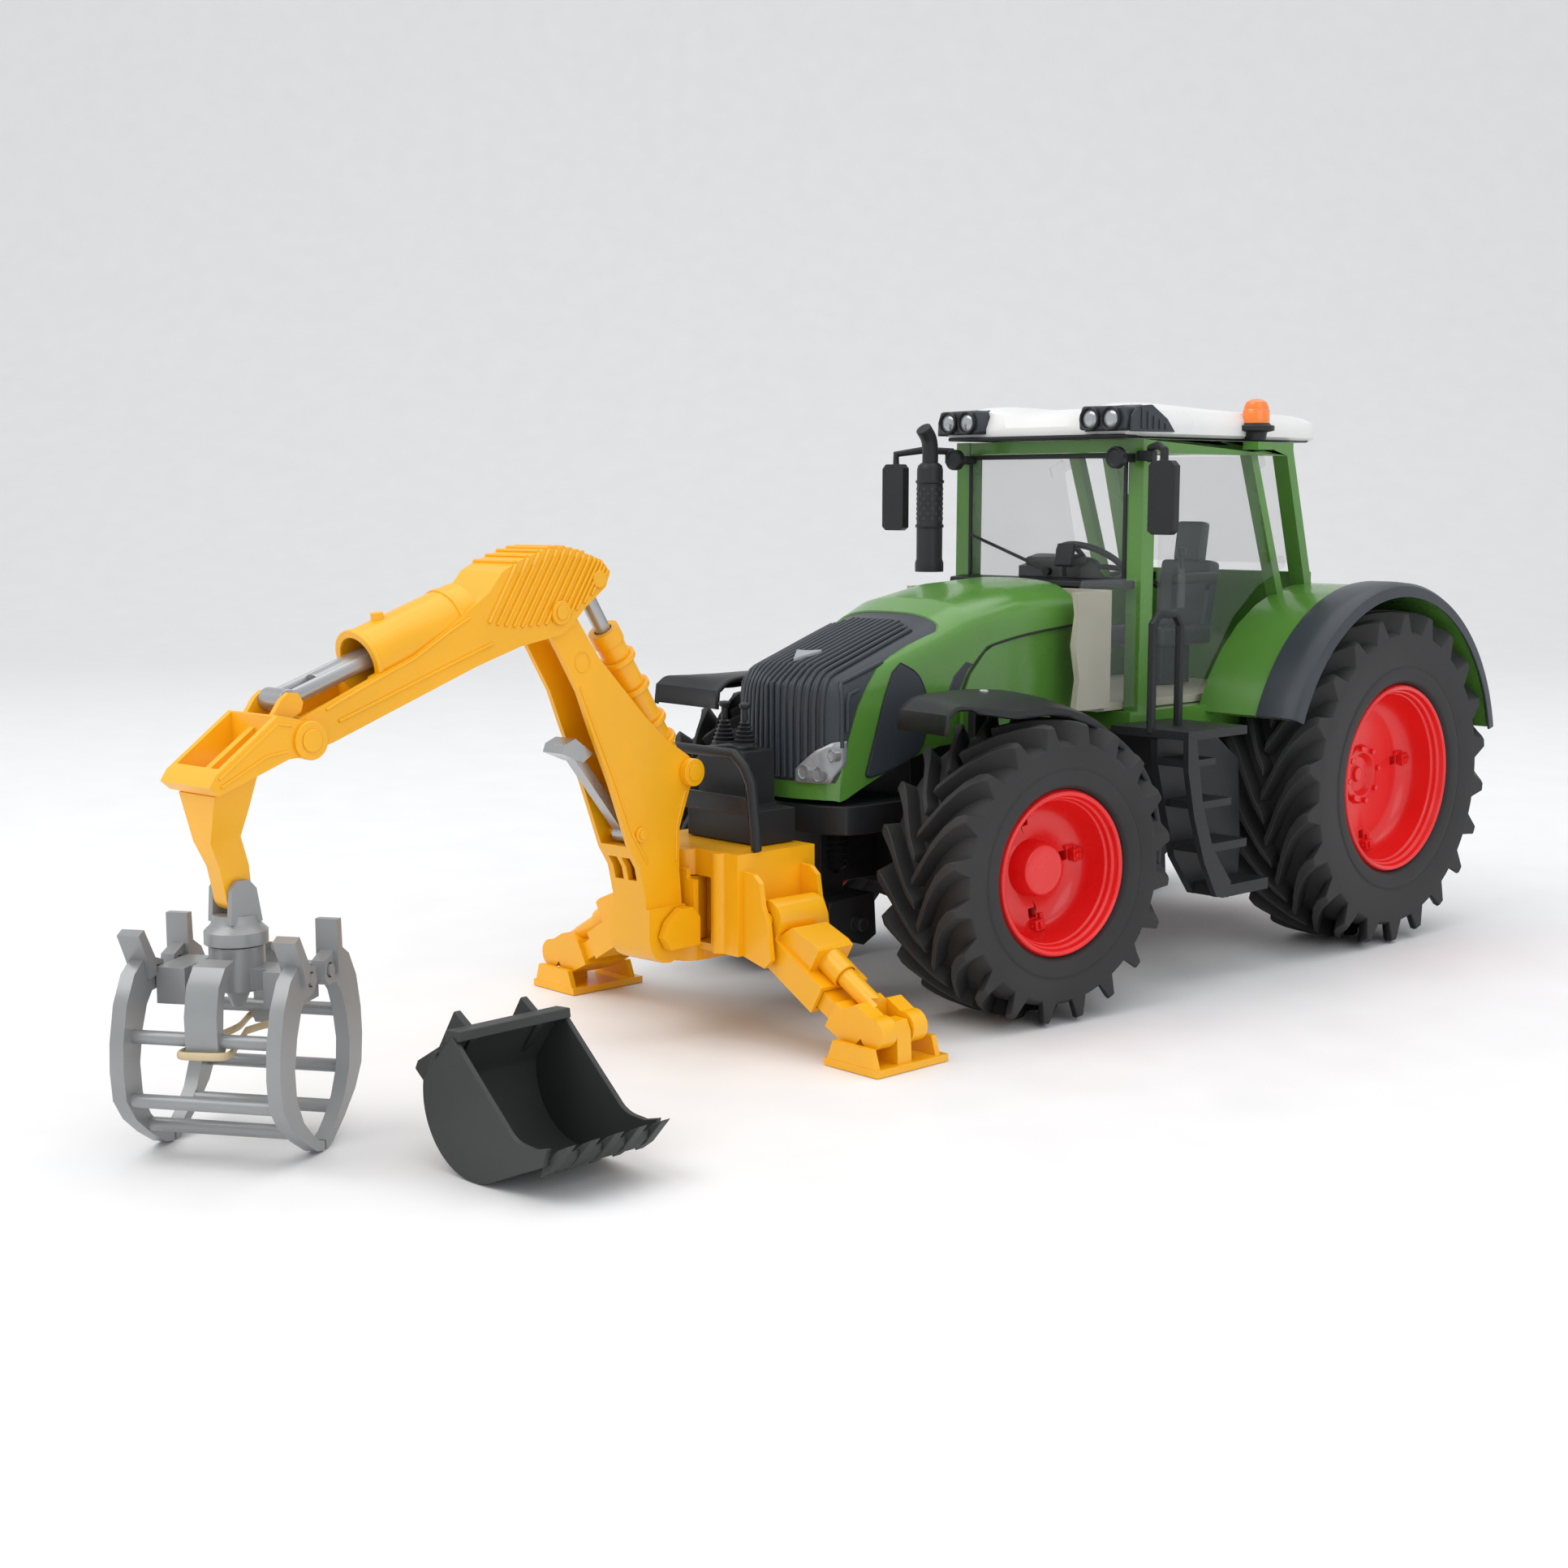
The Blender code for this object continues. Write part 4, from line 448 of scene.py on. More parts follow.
# share of the half width, share of the lead, foot, crest, half width of the foot and of the crest
LUG_STATIONS = (
    (1.0, 0.0, -4.6, -1.5, 4.9, 1.15), (0.93, 0.02, -4.4, -0.7, 4.8, 1.7),
    (0.80, 0.08, -3.6, -0.25, 4.2, 2.0), (0.60, 0.24, -2.0, -0.05, 3.3, 1.9),
    (0.38, 0.50, -1.5, 0.0, 2.8, 1.7), (0.16, 0.80, -1.4, 0.0, 2.6, 1.55), (-0.02, 1.0, -1.4, -0.2, 2.4, 1.25),
)
LUG_LEAD_DEG = 27
LUG_DRAWN_FOR_R = 50.0


def lug(cx, width, radius, depth, turn, side, lead, scale):
    """One tread bar: a pointed tooth at the shoulder sweeping round to the middle of the tread."""
    half = width / 2
    sections = []
    for across, ahead, drop, top, base_w, top_w in LUG_STATIONS:
        x = cx + side * across * half
        phi = turn + lead * ahead
        low = radius - depth + drop
        high = radius + top
        ring = []
        for r, w in ((low, -base_w), (low, base_w), (high, top_w), (high, -top_w)):
            a = phi + w * scale / radius
            ring.append((x, r * math.cos(a), r * math.sin(a)))
        sections.append(ring)
    return loft(sections)


def tyre(cx, width, radius, bead, y, z, lugs, depth):
    parts = [lathe(carcass(cx, width, radius, bead, depth), 96, "X")]
    lead = math.radians(LUG_LEAD_DEG)
    pitch = 2 * math.pi / lugs
    for k in range(lugs):
        for side in (-1, 1):
            turn = (k + (0.5 if side > 0 else 0.0)) * pitch
            parts.append(lug(cx, width, radius, depth, turn, side, lead, radius / LUG_DRAWN_FOR_R))
    bm = join(parts)
    bmesh.ops.translate(bm, verts=bm.verts, vec=(0, y, z))
    return bm


def rim(outer, inner, radius, disc, hub_r, hub_end, y, z, dished):
    barrel = radius - 3.2
    profile = [
        (outer - 0.4, radius - 0.9), (outer, radius - 1.6), (outer - 0.5, radius - 2.4),
        (outer - 2.4, radius - 2.9), (outer - 2.9, radius - 3.6),
        (outer - 4.6, radius - 3.9), (outer - 5.1, radius - 4.5),
        (disc + 6.0, barrel - 2.0), (disc + 3.2, barrel - 3.0), (disc + 1.0, barrel - 5.0),
        (disc, barrel - 8.0),
    ]
    if dished:
        profile += [(disc, hub_r + 3.2), (disc + 1.6, hub_r + 2.4), (disc + 1.8, hub_r),
                    (disc - 0.8, hub_r - 1.6), (disc - 1.2, 3.2), (disc + 0.4, 2.6), (disc + 0.6, 0.0)]
    else:
        profile += [(disc, hub_r + 2.4), (disc + 0.8, hub_r + 0.8), (hub_end - 1.0, hub_r),
                    (hub_end - 0.3, hub_r - 0.5), (hub_end, hub_r - 1.3),
                    (hub_end - 0.2, hub_r - 3.4), (hub_end - 0.2, 0.0)]
    profile += [(disc - 3.0, 0.0), (disc - 3.0, barrel - 7.0), (disc - 1.0, barrel + 1.2),
                (inner + 1.0, radius - 1.2), (inner, radius - 0.8), (inner, radius),
                (inner + 3, radius + 0.2), (outer - 3, radius + 0.2)]
    bm = lathe(profile, 72, "X")
    slots, bosses = [], []
    for k in range(4):
        turn = Matrix.Rotation(math.radians(90 * k + 8), 4, "X")
        slot = box(disc - 8, disc + 4, -1.6, 1.6, barrel - 10.6, barrel - 7.2)
        boss = join([
            box(disc - 0.5, disc + 3.6, -2.1, 2.1, barrel - 7.0, barrel - 3.4),
            box(disc + 1.0, disc + 2.4, -2.9, 2.9, barrel - 5.6, barrel - 4.6),
            box(disc + 3.0, disc + 4.4, -0.7, 0.7, barrel - 6.6, barrel - 4.0),
            box(disc - 0.5, disc + 1.6, -3.4, -2.0, barrel - 8.4, barrel - 4.0),
        ])
        for shape in (slot, boss):
            bmesh.ops.transform(shape, matrix=turn, verts=shape.verts)
        slots.append(slot)
        bosses.append(boss)
    if dished:
        for k in range(8):
            y_nut, z_nut, _ = circle_point(hub_r + 2.0, 45 * k + 10)
            bosses.append(rod((disc, y_nut, z_nut), (disc + 3.0, y_nut, z_nut), 1.1, 10))
    bm = join([carve(bm, slots)] + bosses)
    bmesh.ops.translate(bm, verts=bm.verts, vec=(0, y, z))
    return bm


REAR_R, FRONT_R = 64.45, 50.15
for side_name, side in (("left", 1), ("right", -1)):
    corner = steer_frame(side)
    wheels = (
        ("rear", TRACTOR, REAR_R, 36.5, 65.2, 38.6, 66.0, 8.4, 73.0, 0.0, 22, 6.4, True),
        ("front", corner, FRONT_R, 28.0, 62.2, 38.0, 63.0, 8.7, 71.0, -WHEELBASE, 20, 5.6, False),
    )
    for end, where, radius, bead, cx, width, disc, hub_r, hub_end, y, lugs, depth, dished in wheels:
        rubber = tyre(cx, width, radius, bead, y, radius, lugs, depth)
        metal = rim(cx + width / 2 - 1.0, cx - width / 2 + 2, bead, disc, hub_r, hub_end, y, radius, dished)
        if side < 0:
            rubber, metal = flipped(rubber), flipped(metal)
        body = f"{end}_wheel_{side_name}"
        piece(f"{end}_tread_{side_name}", rubber, "rubber", body, where,
              [f"{end}_tyre_{side_name}"], bevel=0.3)
        piece(f"{end}_dish_{side_name}", metal, "red", body, where,
              [f"{end}_rim_{side_name}"], bevel=0.3)


# ---- hood, grille and headlights
NOSE_Y = -250.4
NOSE_CURVE = 0.0125


def nose_y(x):
    """How far forward the rounded front reaches, away from the middle."""
    return NOSE_Y + NOSE_CURVE * x * x


STATIONS = tuple((nose_y(x) + 0.02, x, 73.0, top) for x, top in (
    (4.0, 111.0), (8.0, 111.6), (12.0, 112.4), (16.0, 113.4), (20.0, 114.6), (23.0, 115.8))) + (
    (-242.6, 24.3, 72.6, 116.6), (-240.5, 24.9, 73.2, 117.4), (-232, 25.4, 77.0, 120.2),
    (-216, 26.4, 83.5, 125.6), (-198.6, 28.0, 88.0, 131.2), (-185, 29.4, 88.6, 136.8),
    (-160, 31.0, 88.6, 141.2), (-134.0, 32.8, 88.6, 142.6),
)
SHOULDER = 13.0
POWER = 2.9


def hood_at(y):
    """Half width, bottom and top of the bonnet at a place along it."""
    y = min(max(y, STATIONS[0][0]), STATIONS[-1][0])
    for a, b in zip(STATIONS, STATIONS[1:]):
        if y <= b[0]:
            t = (y - a[0]) / (b[0] - a[0])
            return tuple(p + (q - p) * t for p, q in zip(a[1:], b[1:]))
    return STATIONS[-1][1:]


def hood_top(x, y):
    """Height of the bonnet's surface above a point."""
    half, _, top = hood_at(y)
    k = min(abs(x) / half, 1.0)
    return top - SHOULDER + SHOULDER * (1 - k ** POWER) ** (1 / POWER)


def hood_side(y, z):
    """Half width of the bonnet at a height."""
    half, _, top = hood_at(y)
    k = min(max((z - top + SHOULDER) / SHOULDER, 0.0), 1.0)
    return half * (1 - k ** POWER) ** (1 / POWER)


def hood_section(y, grow=0.0):
    half, low, top = hood_at(y)
    half += grow
    side = []
    for k in range(13):
        t = math.radians(90 * k / 12)
        rise = SHOULDER * math.sin(t) ** (2 / POWER)
        side.append((half * math.cos(t) ** (2 / POWER), top + grow - SHOULDER + rise))
    ring = [(half - 0.4, low)] + side
    right = [(x, y, z) for x, z in ring]
    left = [(-x, y, z) for x, z in reversed(ring[:-1])]
    return right + left


def hood_block(grow=0.0, y0=NOSE_Y, y1=-134.0):
    places = [s[0] for s in STATIONS if y0 - 1 < s[0] < y1]
    y = -238.0
    while y < y1:
        places.append(y)
        y += 3.0
    return loft([hood_section(y, grow) for y in sorted(set(places + [y1]))])


SLATE_EDGE = [(-243.5, 78.8), (-241, 86), (-239.6, 92), (-237.5, 98), (-235.2, 104), (-231, 110.5),
              (-226.2, 115.6), (-219, 119.2), (-211, 122.4), (-203, 125.0), (-197.8, 126.6),
              (-195.8, 128.6), (-195.2, 132)]
SLATE_SIDE = [(-262, 78.8)] + SLATE_EDGE + [(-196, 150), (-262, 150)]
SEAM_LINE = [(-190, 104), (-186, 112), (-179, 119), (-175, 121), (-158, 124), (-129.5, 127)]


def over_hood(outline, side, proud, deep=1.2):
    """A flat outline in (y, z) laid on the bonnet's side."""
    bm = prism(outline, -deep, proud)
    for v in bm.verts:
        v.co.x = side * (v.co.x + hood_side(v.co.y, v.co.z) - 0.1)
    if side < 0:
        bmesh.ops.reverse_faces(bm, faces=bm.faces)
    return bm


def hood_lining():
    lining = hood_block(-2.4, -240, -130)
    for v in lining.verts:
        if v.co.z < 100:
            v.co.z -= 30
        if v.co.y > -140:
            v.co.y += 8
    return lining


above_seam = [(y, z + 0.35) for y, z in SEAM_LINE]
seam_cut = prism([(-190.4, 40), (-190.4, 104.2)] + above_seam + [(-110, 128.5), (-110, 40)], -45, 45)
green_hood = carve(hood_block(), [hood_lining(), seam_cut, prism(SLATE_SIDE, -50, 50)])
piece("bonnet", green_hood, "green", "hood", replaces=["hood"], bevel=0.5)
slate_block = carve(hood_block(-0.5, NOSE_Y, -190), [hood_lining()])
slate_shell = carve(slate_block, [prism(SLATE_SIDE, -50, 50)], keep_inside=True)
piece("grille_shell", slate_shell, "slate", "hood", replaces=["grille"], bevel=0.4)


def lamp_top(x):
    """Upper edge of a headlight across the nose."""
    line = ((10.4, 83.0), (17.3, 89.4), (22.6, 92.2), (26.0, 92.8))
    for a, b in zip(line, line[1:]):
        if x <= b[0]:
            return a[1] + (b[1] - a[1]) * max(0.0, (x - a[0]) / (b[0] - a[0]))
    return line[-1][1]


def rib_path(x, back):
    """A rib from the foot of the grille up its front and back over the top."""
    front = nose_y(x)
    foot = 80.0 if abs(x) < 10.4 else lamp_top(abs(x)) + 0.5
    crest = hood_top(x, front + 0.05)
    points = [(x, front - 0.15, foot + (crest - foot) * k / 7) for k in range(8)]
    y = front + 0.4
    step = 0.5
    while y < back:
        points.append((x, y, hood_top(x, y) - 0.2))
        y += step
        step = min(step * 1.6, 3.0)
    points.append((x, back, hood_top(x, back) - 1.0))
    return points


ribs = []
for k in range(15):
    x = -18.9 + 2.7 * k
    ribs.append(tube(rib_path(x, -200.6 - 0.010 * x * x), 0.82, 8))
for side in (-1, 1):
    for k in range(5):
        down = 5.6 + 4.4 * k
        corner_y = -241.4 + 1.9 * k
        line = []
        y = -201.0
        while y > corner_y:
            z = hood_at(y)[2] - down
            edge = max((b[1] for b in SLATE_EDGE if b[0] <= y + 2), default=78.8)
            if z > edge + 2.0:
                line.append((y, z))
            y -= 2.0
        z = hood_at(corner_y)[2] - down
        edge = max((b[1] for b in SLATE_EDGE if b[0] <= corner_y + 1.2), default=78.8)
        line.append((corner_y - 0.3, z - 1.6))
        while z - 3.5 > edge + 1.5:
            z -= 3.0
            line.append((corner_y - 0.5, z))
        if len(line) > 2:
            path = [(side * (hood_side(y, z) - 0.35), y, z) for y, z in line]
            ribs.append(tube(path, 0.8, 8))
piece("grille_ribs", join(ribs), "slate", "hood", bevel=0)
emblem = prism([(-5.2, -234.5), (0.6, -241.5), (5.6, -233.0), (1.0, -234.6)], 0, 1.5, "Z")
for v in emblem.verts:
    v.co.z += hood_top(v.co.x, v.co.y) + 0.1
piece("grille_emblem", emblem, "lamp", "hood", bevel=0.3)

for side, name in ((1, "left"), (-1, "right")):
    oval = [(-216.5, 117.0), (-209.0, 112.5), (-205.2, 104), (-205.6, 94), (-208.5, 87.2), (-216, 83.4),
            (-226, 80.6), (-231.6, 80.2), (-231.0, 84), (-227.5, 95), (-224, 106), (-220.5, 114)]
    outline = [(p.x, p.y) for p in smooth_path([(y, z, 0) for y, z in oval], 3)]
    piece(f"side_vent_{name}", over_hood(outline, side, 0.5), "slate", "hood", bevel=0.4)
    rim_line = [(side * (hood_side(y, z) + 0.1), y, z) for y, z in outline]
    piece(f"side_vent_edge_{name}", tube(rim_line, 0.35, 8, closed=True), "black", "hood", bevel=0)
    notch = [(-193.6, 100.5), (-190.8, 106), (-186.6, 113.6), (-184.2, 115.2), (-187.6, 116.2),
             (-193.0, 111.5), (-196.6, 103.5)]
    piece(f"cooling_slot_{name}", over_hood(notch, side, 0.3), "slate", "hood", bevel=0.3)
    rows = []
    for k in range(15):
        x = 10.4 + 15.0 * k / 14
        wrap = min(x, 24.6)
        y = nose_y(wrap) - 0.9 + max(0.0, x - 23.2) * 1.5
        low = 78.6 if x < 22 else 78.6 + (x - 22) * 2.0
        rows.append([(side * min(x, 25.0), y, low + (lamp_top(x) - low) * j / 6) for j in range(7)])
    lens_skin = grid_skin(rows)
    bmesh.ops.recalc_face_normals(lens_skin, faces=lens_skin.faces)
    piece(f"headlight_{name}", lens_skin, "lamp", "hood", bevel=0, solid=1.4)
    for n, (x, z, r) in enumerate(((13.8, 82.2, 2.7), (18.7, 81.6, 2.7), (23.0, 88.0, 2.2))):
        y = nose_y(x) - 1.3
        dish = [(y + 2, r), (y - 0.5, r), (y - 0.6, r - 0.5), (y + 0.2, r - 0.8), (y + 0.9, r * 0.4),
                (y + 1.1, 0)]
        ring = lathe(dish, 24, "Y", (side * x, 0, z))
        piece(f"headlight_reflector_{name}_{n}", ring, "lens", "hood", bevel=0)
    seam = [(side * (hood_side(y, z + 0.3) + 0.05), y, z + 0.3) for y, z in SEAM_LINE]
    piece(f"bonnet_seam_{name}", tube(smooth_path(seam, 4), 0.45, 8), "black", "hood", bevel=0)


# ---- front fenders
CREST = [(-231, 103.5), (-225, 107.5), (-212, 109), (-195, 108.6), (-180, 105.6), (-165, 99.6),
         (-153, 91.8), (-144.6, 82), (-139.2, 70), (-137, 58), (-137.2, 47.5)]
LIP = [(-238, 104.4), (-232.5, 107.2), (-220, 105.6), (-207.7, 104.0), (-192.7, 104.4), (-177.2, 100.8),
       (-166.2, 95.0), (-155.4, 87.4), (-146.2, 76.4), (-141.0, 61.5), (-140.6, 47.5)]
# place across and share of the way from the crest line to the lip line
ACROSS_FENDER = ((45.4, 0.18), (47.0, 0.05), (52.0, 0.0), (60.0, 0.1), (68.0, 0.42), (73.0, 0.78), (75.4, 1.0))
FRONT_DROP = Vector((0, -0.8, -6.5))
HUB = Vector((0, -WHEELBASE, FRONT_R))

for side, name in ((1, "left"), (-1, "right")):
    crest = smooth_path([(0, y, z) for y, z in CREST], 5)
    lip = smooth_path([(0, y, z) for y, z in LIP], 5)
    rows = []
    for n, (c, e) in enumerate([(crest[0] + FRONT_DROP, lip[0] + FRONT_DROP)] + list(zip(crest, lip))):
        row = []
        for x, share in ACROSS_FENDER:
            p = c.lerp(e, share)
            row.append((x, p.y, p.z))
        inward = (HUB - e).normalized() * (2.4 if n > 8 else 1.0)
        row.append((76.2, e.y + inward.y, e.z + inward.z))
        rows.append(row)
    arch = grid_skin(rows)
    bmesh.ops.recalc_face_normals(arch, faces=arch.faces)
    bracket = box(37.6, 41.4, -WHEELBASE - 5, -WHEELBASE + 5, 58.4, 106)
    bridge = box(38, 50, -WHEELBASE - 5, -WHEELBASE + 5, 103.4, 107)
    if side < 0:
        arch, bracket, bridge = flipped(arch), flipped(bracket), flipped(bridge)
    where = steer_frame(side)
    piece(f"mudguard_{name}", arch, "black", f"knuckle_{name}", where, [f"front_fender_{name}"],
          bevel=0, solid=1.5)
    piece(f"mudguard_stay_{name}", join([bracket, bridge]), "black", f"knuckle_{name}", where, bevel=0.6)
    screw = rod((side * 57, -206, 107.6), (side * 57, -206, 109.6), 1.6, 16)
    piece(f"mudguard_screw_{name}", screw, "chrome", f"knuckle_{name}", where, bevel=0.3)


# ---- rear fender trim
BAND_SECTION = ((67.6, 73.3), (67.8, 74.4), (70.0, 74.8), (78.0, 74.8), (83.4, 74.4), (85.2, 73.2), (85.6, 69.2),
                (84.6, 69.2), (84.3, 71.6), (82.0, 73.0))
BAND_START, BAND_END, BAND_STEPS = 158.5, 11.5, 48
FENDER_Y, FENDER_Z = -4, 65

for side, name in ((1, "left"), (-1, "right")):
    rows = []
    for k in range(BAND_STEPS + 1):
        a = math.radians(BAND_START - (BAND_START - BAND_END) * k / BAND_STEPS)
        rows.append([(side * x, FENDER_Y + r * math.cos(a), FENDER_Z + r * math.sin(a)) for x, r in BAND_SECTION])
    piece(f"fender_band_{name}", loft(rows), "slate", "tractor", bevel=0.25)


# ---- roof, lamps and beacon
def roof_height(x, y):
    """Top of the cab roof: a long shallow hump over each front lamp pair, falling to the back."""
    base = 204.6 - 0.0009 * (abs(x) ** 2)
    fade = max(0.0, 1 - ((y + 62) / 60) ** 4)
    hump = math.exp(-((abs(x) - 30) / 9.5) ** 2) * max(0.0, 1 - abs(y + 112) / 66) * 3.0
    return 197.5 + (base - 197.5) * fade ** 0.5 + hump * min(1.0, fade * 3)


def roof_skin():
    rows = []
    across = [-42 + 84 * k / 24 for k in range(25)]
    for j in range(41):
        y = -119.5 + 116.5 * j / 40
        at_end = j in (0, 40)
        row = [(x, y, 197.0 if at_end else roof_height(x, y)) for x in across]
        half = 45.6 - 5.0 * max(0.0, (abs(y + 61) - 50) / 12) ** 2
        rim_line = [(half - 2.2, min(202.6, row[0][2])), (half - 0.6, 199.8), (half, 196.8), (half - 0.4, 194.2),
                    (half - 2.6, 192.9)]
        ring = [(-x, y, z) for x, z in reversed(rim_line)] + row[1:-1] + [(x, y, z) for x, z in rim_line]
        rows.append(ring)
    return loft(rows)


shell = carve(roof_skin(), [box(x - 10.4, x + 10.4, -128, -116.6, 194.9, 203.4) for x in (-34, 34)])
piece("roof_shell", shell, "white", "tractor", replaces=["roof"], bevel=0.5)
trim = [(-41.5, -121), (-20, -122.4), (20, -122.4), (41.5, -121), (43.4, -116), (43.4, -8), (40, -3.6),
        (-40, -3.6), (-43.4, -8), (-43.4, -116)]
LAMP_BOX = ((23.9, 195.3), (44.6, 195.3), (45.2, 199.4), (43.6, 203.6), (25.0, 203.8), (23.6, 199.4))
LAMP_BOX_BACK = ((25.9, 197.3), (43.6, 197.3), (44.0, 199.4), (42.6, 204.4), (26.6, 204.6), (25.6, 199.4))
LAMP_RING = [(-122.6, 4.3), (-124.6, 4.3), (-124.9, 3.9), (-124.7, 3.5), (-123.4, 3.4), (-123.0, 2.2), (-122.6, 0)]
LAMP_LENS = [(-123.6, 3.4), (-124.1, 2.8), (-124.5, 1.6), (-124.6, 0)]
LAMP_FLANK = [(-121.6, 194.6), (-121.4, 200), (-118, 203.6), (-110, 204.2), (-101, 199.4), (-96.4, 194.8)]
WORK_LIGHT = [(-118.6, 3.9), (-121.4, 3.9), (-121.8, 3.4), (-121.0, 2.9), (-120.6, 0)]
piece("roof_trim", prism(trim, 192.6, 193.9, "Z"), "black", "tractor", bevel=0.4)
for side, name in ((1, "left"), (-1, "right")):
    stages = ((-123.2, LAMP_BOX), (-117.0, LAMP_BOX), (-110.0, LAMP_BOX_BACK))
    housing = loft([[(side * x, y, z) for x, z in outline] for y, outline in stages])
    piece(f"roof_lamp_box_{name}", housing, "slate", "tractor", bevel=0.8)
    for n, x in enumerate((29.4, 38.8)):
        body = lathe(LAMP_RING, 28, "Y", (side * x, 0, 199.2))
        lens = lathe(LAMP_LENS, 24, "Y", (side * x, 0, 199.2), closed=False)
        piece(f"roof_lamp_ring_{name}_{n}", body, "black", "tractor", bevel=0)
        piece(f"roof_lamp_lens_{name}_{n}", lens, "lens", "tractor", bevel=0)
    flank = prism(LAMP_FLANK, 0, 1.1)
    for v in flank.verts:
        v.co.x = side * (v.co.x + 45.3)
    if side < 0:
        bmesh.ops.reverse_faces(flank, faces=flank.faces)
    fins = [flank]
    for k in range(5):
        y = -116.4 + 3.4 * k
        top = 203.0 - 1.3 * k
        fins.append(box(*sorted((side * 46.2, side * 46.9)), y, y + 1.2, 195.6, top))
    piece(f"roof_flank_{name}", join(fins), "slate", "tractor", bevel=0.25)
    work = join([
        lathe(WORK_LIGHT, 24, "Y", (side * 38.6, 0, 185.6)),
        box(*sorted((side * 34.6, side * 41.0)), -118.8, -112.0, 184.0, 187.0),
        box(*sorted((side * 42.6, side * 49.6)), -114.0, -110.8, 184.4, 188.0),
    ])
    piece(f"work_light_{name}", work, "black", "tractor", bevel=0.35)
rear_lamp = join([rod((1, -3, 199.6), (1, 0.6, 201.2), 4.0, 24), box(-4, 6, -7, -2.4, 196.6, 203.4)])
piece("rear_lamp", rear_lamp, "black", "tractor", bevel=0.6)
piece("rear_lamp_lens", rod((1, 0.5, 201.15), (1, 1.1, 201.4), 3.3, 24), "lens", "tractor", bevel=0.3)
beacon_axis = (47, -48, 0)
base = lathe([(192.6, 3.8), (195.6, 4.2), (196.2, 6.9), (198.0, 6.9), (198.4, 5.4), (199.0, 5.2), (199.0, 0)],
             32, "Z", beacon_axis, closed=False)
piece("beacon_base", base, "black", "tractor", replaces=["beacon"], bevel=0.25)
dome = lathe([(198.9, 5.0), (203.6, 5.0), (204.2, 4.6), (204.6, 4.7), (206.8, 3.8), (207.8, 2.0), (208.0, 0)],
             32, "Z", beacon_axis, closed=False)
piece("beacon_dome", dome, "orange", "tractor", bevel=0)


# ---- cab interior and glass
def pad(x0, x1, y0, y1, z0, z1, turn=0.0, soft=2.4):
    bm = box(x0, x1, y0, y1, z0, z1)
    if turn:
        centre = Vector(((x0 + x1) / 2, (y0 + y1) / 2, z0))
        spin = Matrix.Rotation(math.radians(turn), 4, "X")
        spin = Matrix.Translation(centre) @ spin @ Matrix.Translation(-centre)
        bmesh.ops.transform(bm, matrix=spin, verts=bm.verts)
    bmesh.ops.bevel(bm, geom=list(bm.edges), offset=soft, segments=4, profile=0.6, affect="EDGES")
    return bm


seat = join([
    pad(-13.5, 13.5, -58, -25, 114, 121.5), pad(-12.5, 12.5, -31, -24, 119, 147, -11),
    pad(-6.5, 6.5, -26, -20.5, 146, 162, -9, 1.8), box(-7, 7, -49, -31, 98.6, 115),
])
piece("driver_seat", seat, "slate", "tractor", replaces=["seat"], bevel=0.3)
rests = join([pad(x - 2.2, x + 2.2, -53, -27, 138, 142.4, 0, 1.2) for x in (-15.2, 15.2)]
             + [rod((x, -30, 139), (x * 0.78, -27.5, 136), 1.4, 12) for x in (-15.2, 15.2)]
             + [rod((16.6, -51, 141), (17.4, -52, 150), 0.9, 10),
                rod((17.4, -52, 149), (17.5, -52.2, 152.4), 1.7, 14)])
piece("seat_armrests", rests, "black", "tractor", bevel=0.3)
seat_ribs = join([box(-9, 9, -57.6 + 5.6 * k, -56.4 + 5.6 * k, 121.0, 121.9) for k in range(1, 5)])
piece("seat_ribs", seat_ribs, "black", "tractor", bevel=0.2)

WHEEL = TRACTOR @ Matrix.Translation((0, -85 * MM, 147 * MM)) @ Matrix.Rotation(math.radians(-32), 4, "X")
rim_path = [circle_point(13.2, a) for a in range(0, 360, 8)]
wheel = join([tube(rim_path, 1.25, 12, closed=True)]
             + [tube([circle_point(12.6, a), circle_point(6, a, -0.6), circle_point(3, a, -1.6)], 1.1, 10)
                for a in (20, 160, 270)]
             + [lathe([(-2.8, 3.6), (-1.2, 4.3), (0.2, 3.8), (0.6, 2.6), (0.7, 0), (-2.8, 0)], 24, "Z")]
             + [rod((-9, 8.4, 0.6), (-9.8, 9.2, 4.4), 1.3, 12)])
piece("wheel_rim", wheel, "black", "steering_wheel", WHEEL, ["steering_wheel"], bevel=0)
cluster = join([pad(-12, 12, -109, -101, 143, 150.2, 12, 1.6),
                pad(9, 17, -118.5, -116.6, 146.5, 155, -14, 0.8),
                rod((13, -116.5, 143), (13, -117.2, 148), 0.9, 10), box(-4.5, 4.5, -101.4, -97, 142, 147.6),
                rod((-10, -97, 142), (-15.4, -93, 146), 0.8, 10),
                rod((-15.0, -93.2, 145.6), (-16.4, -92.2, 147), 1.4, 12)])
piece("instrument_hood", cluster, "black", "tractor", bevel=0.2)

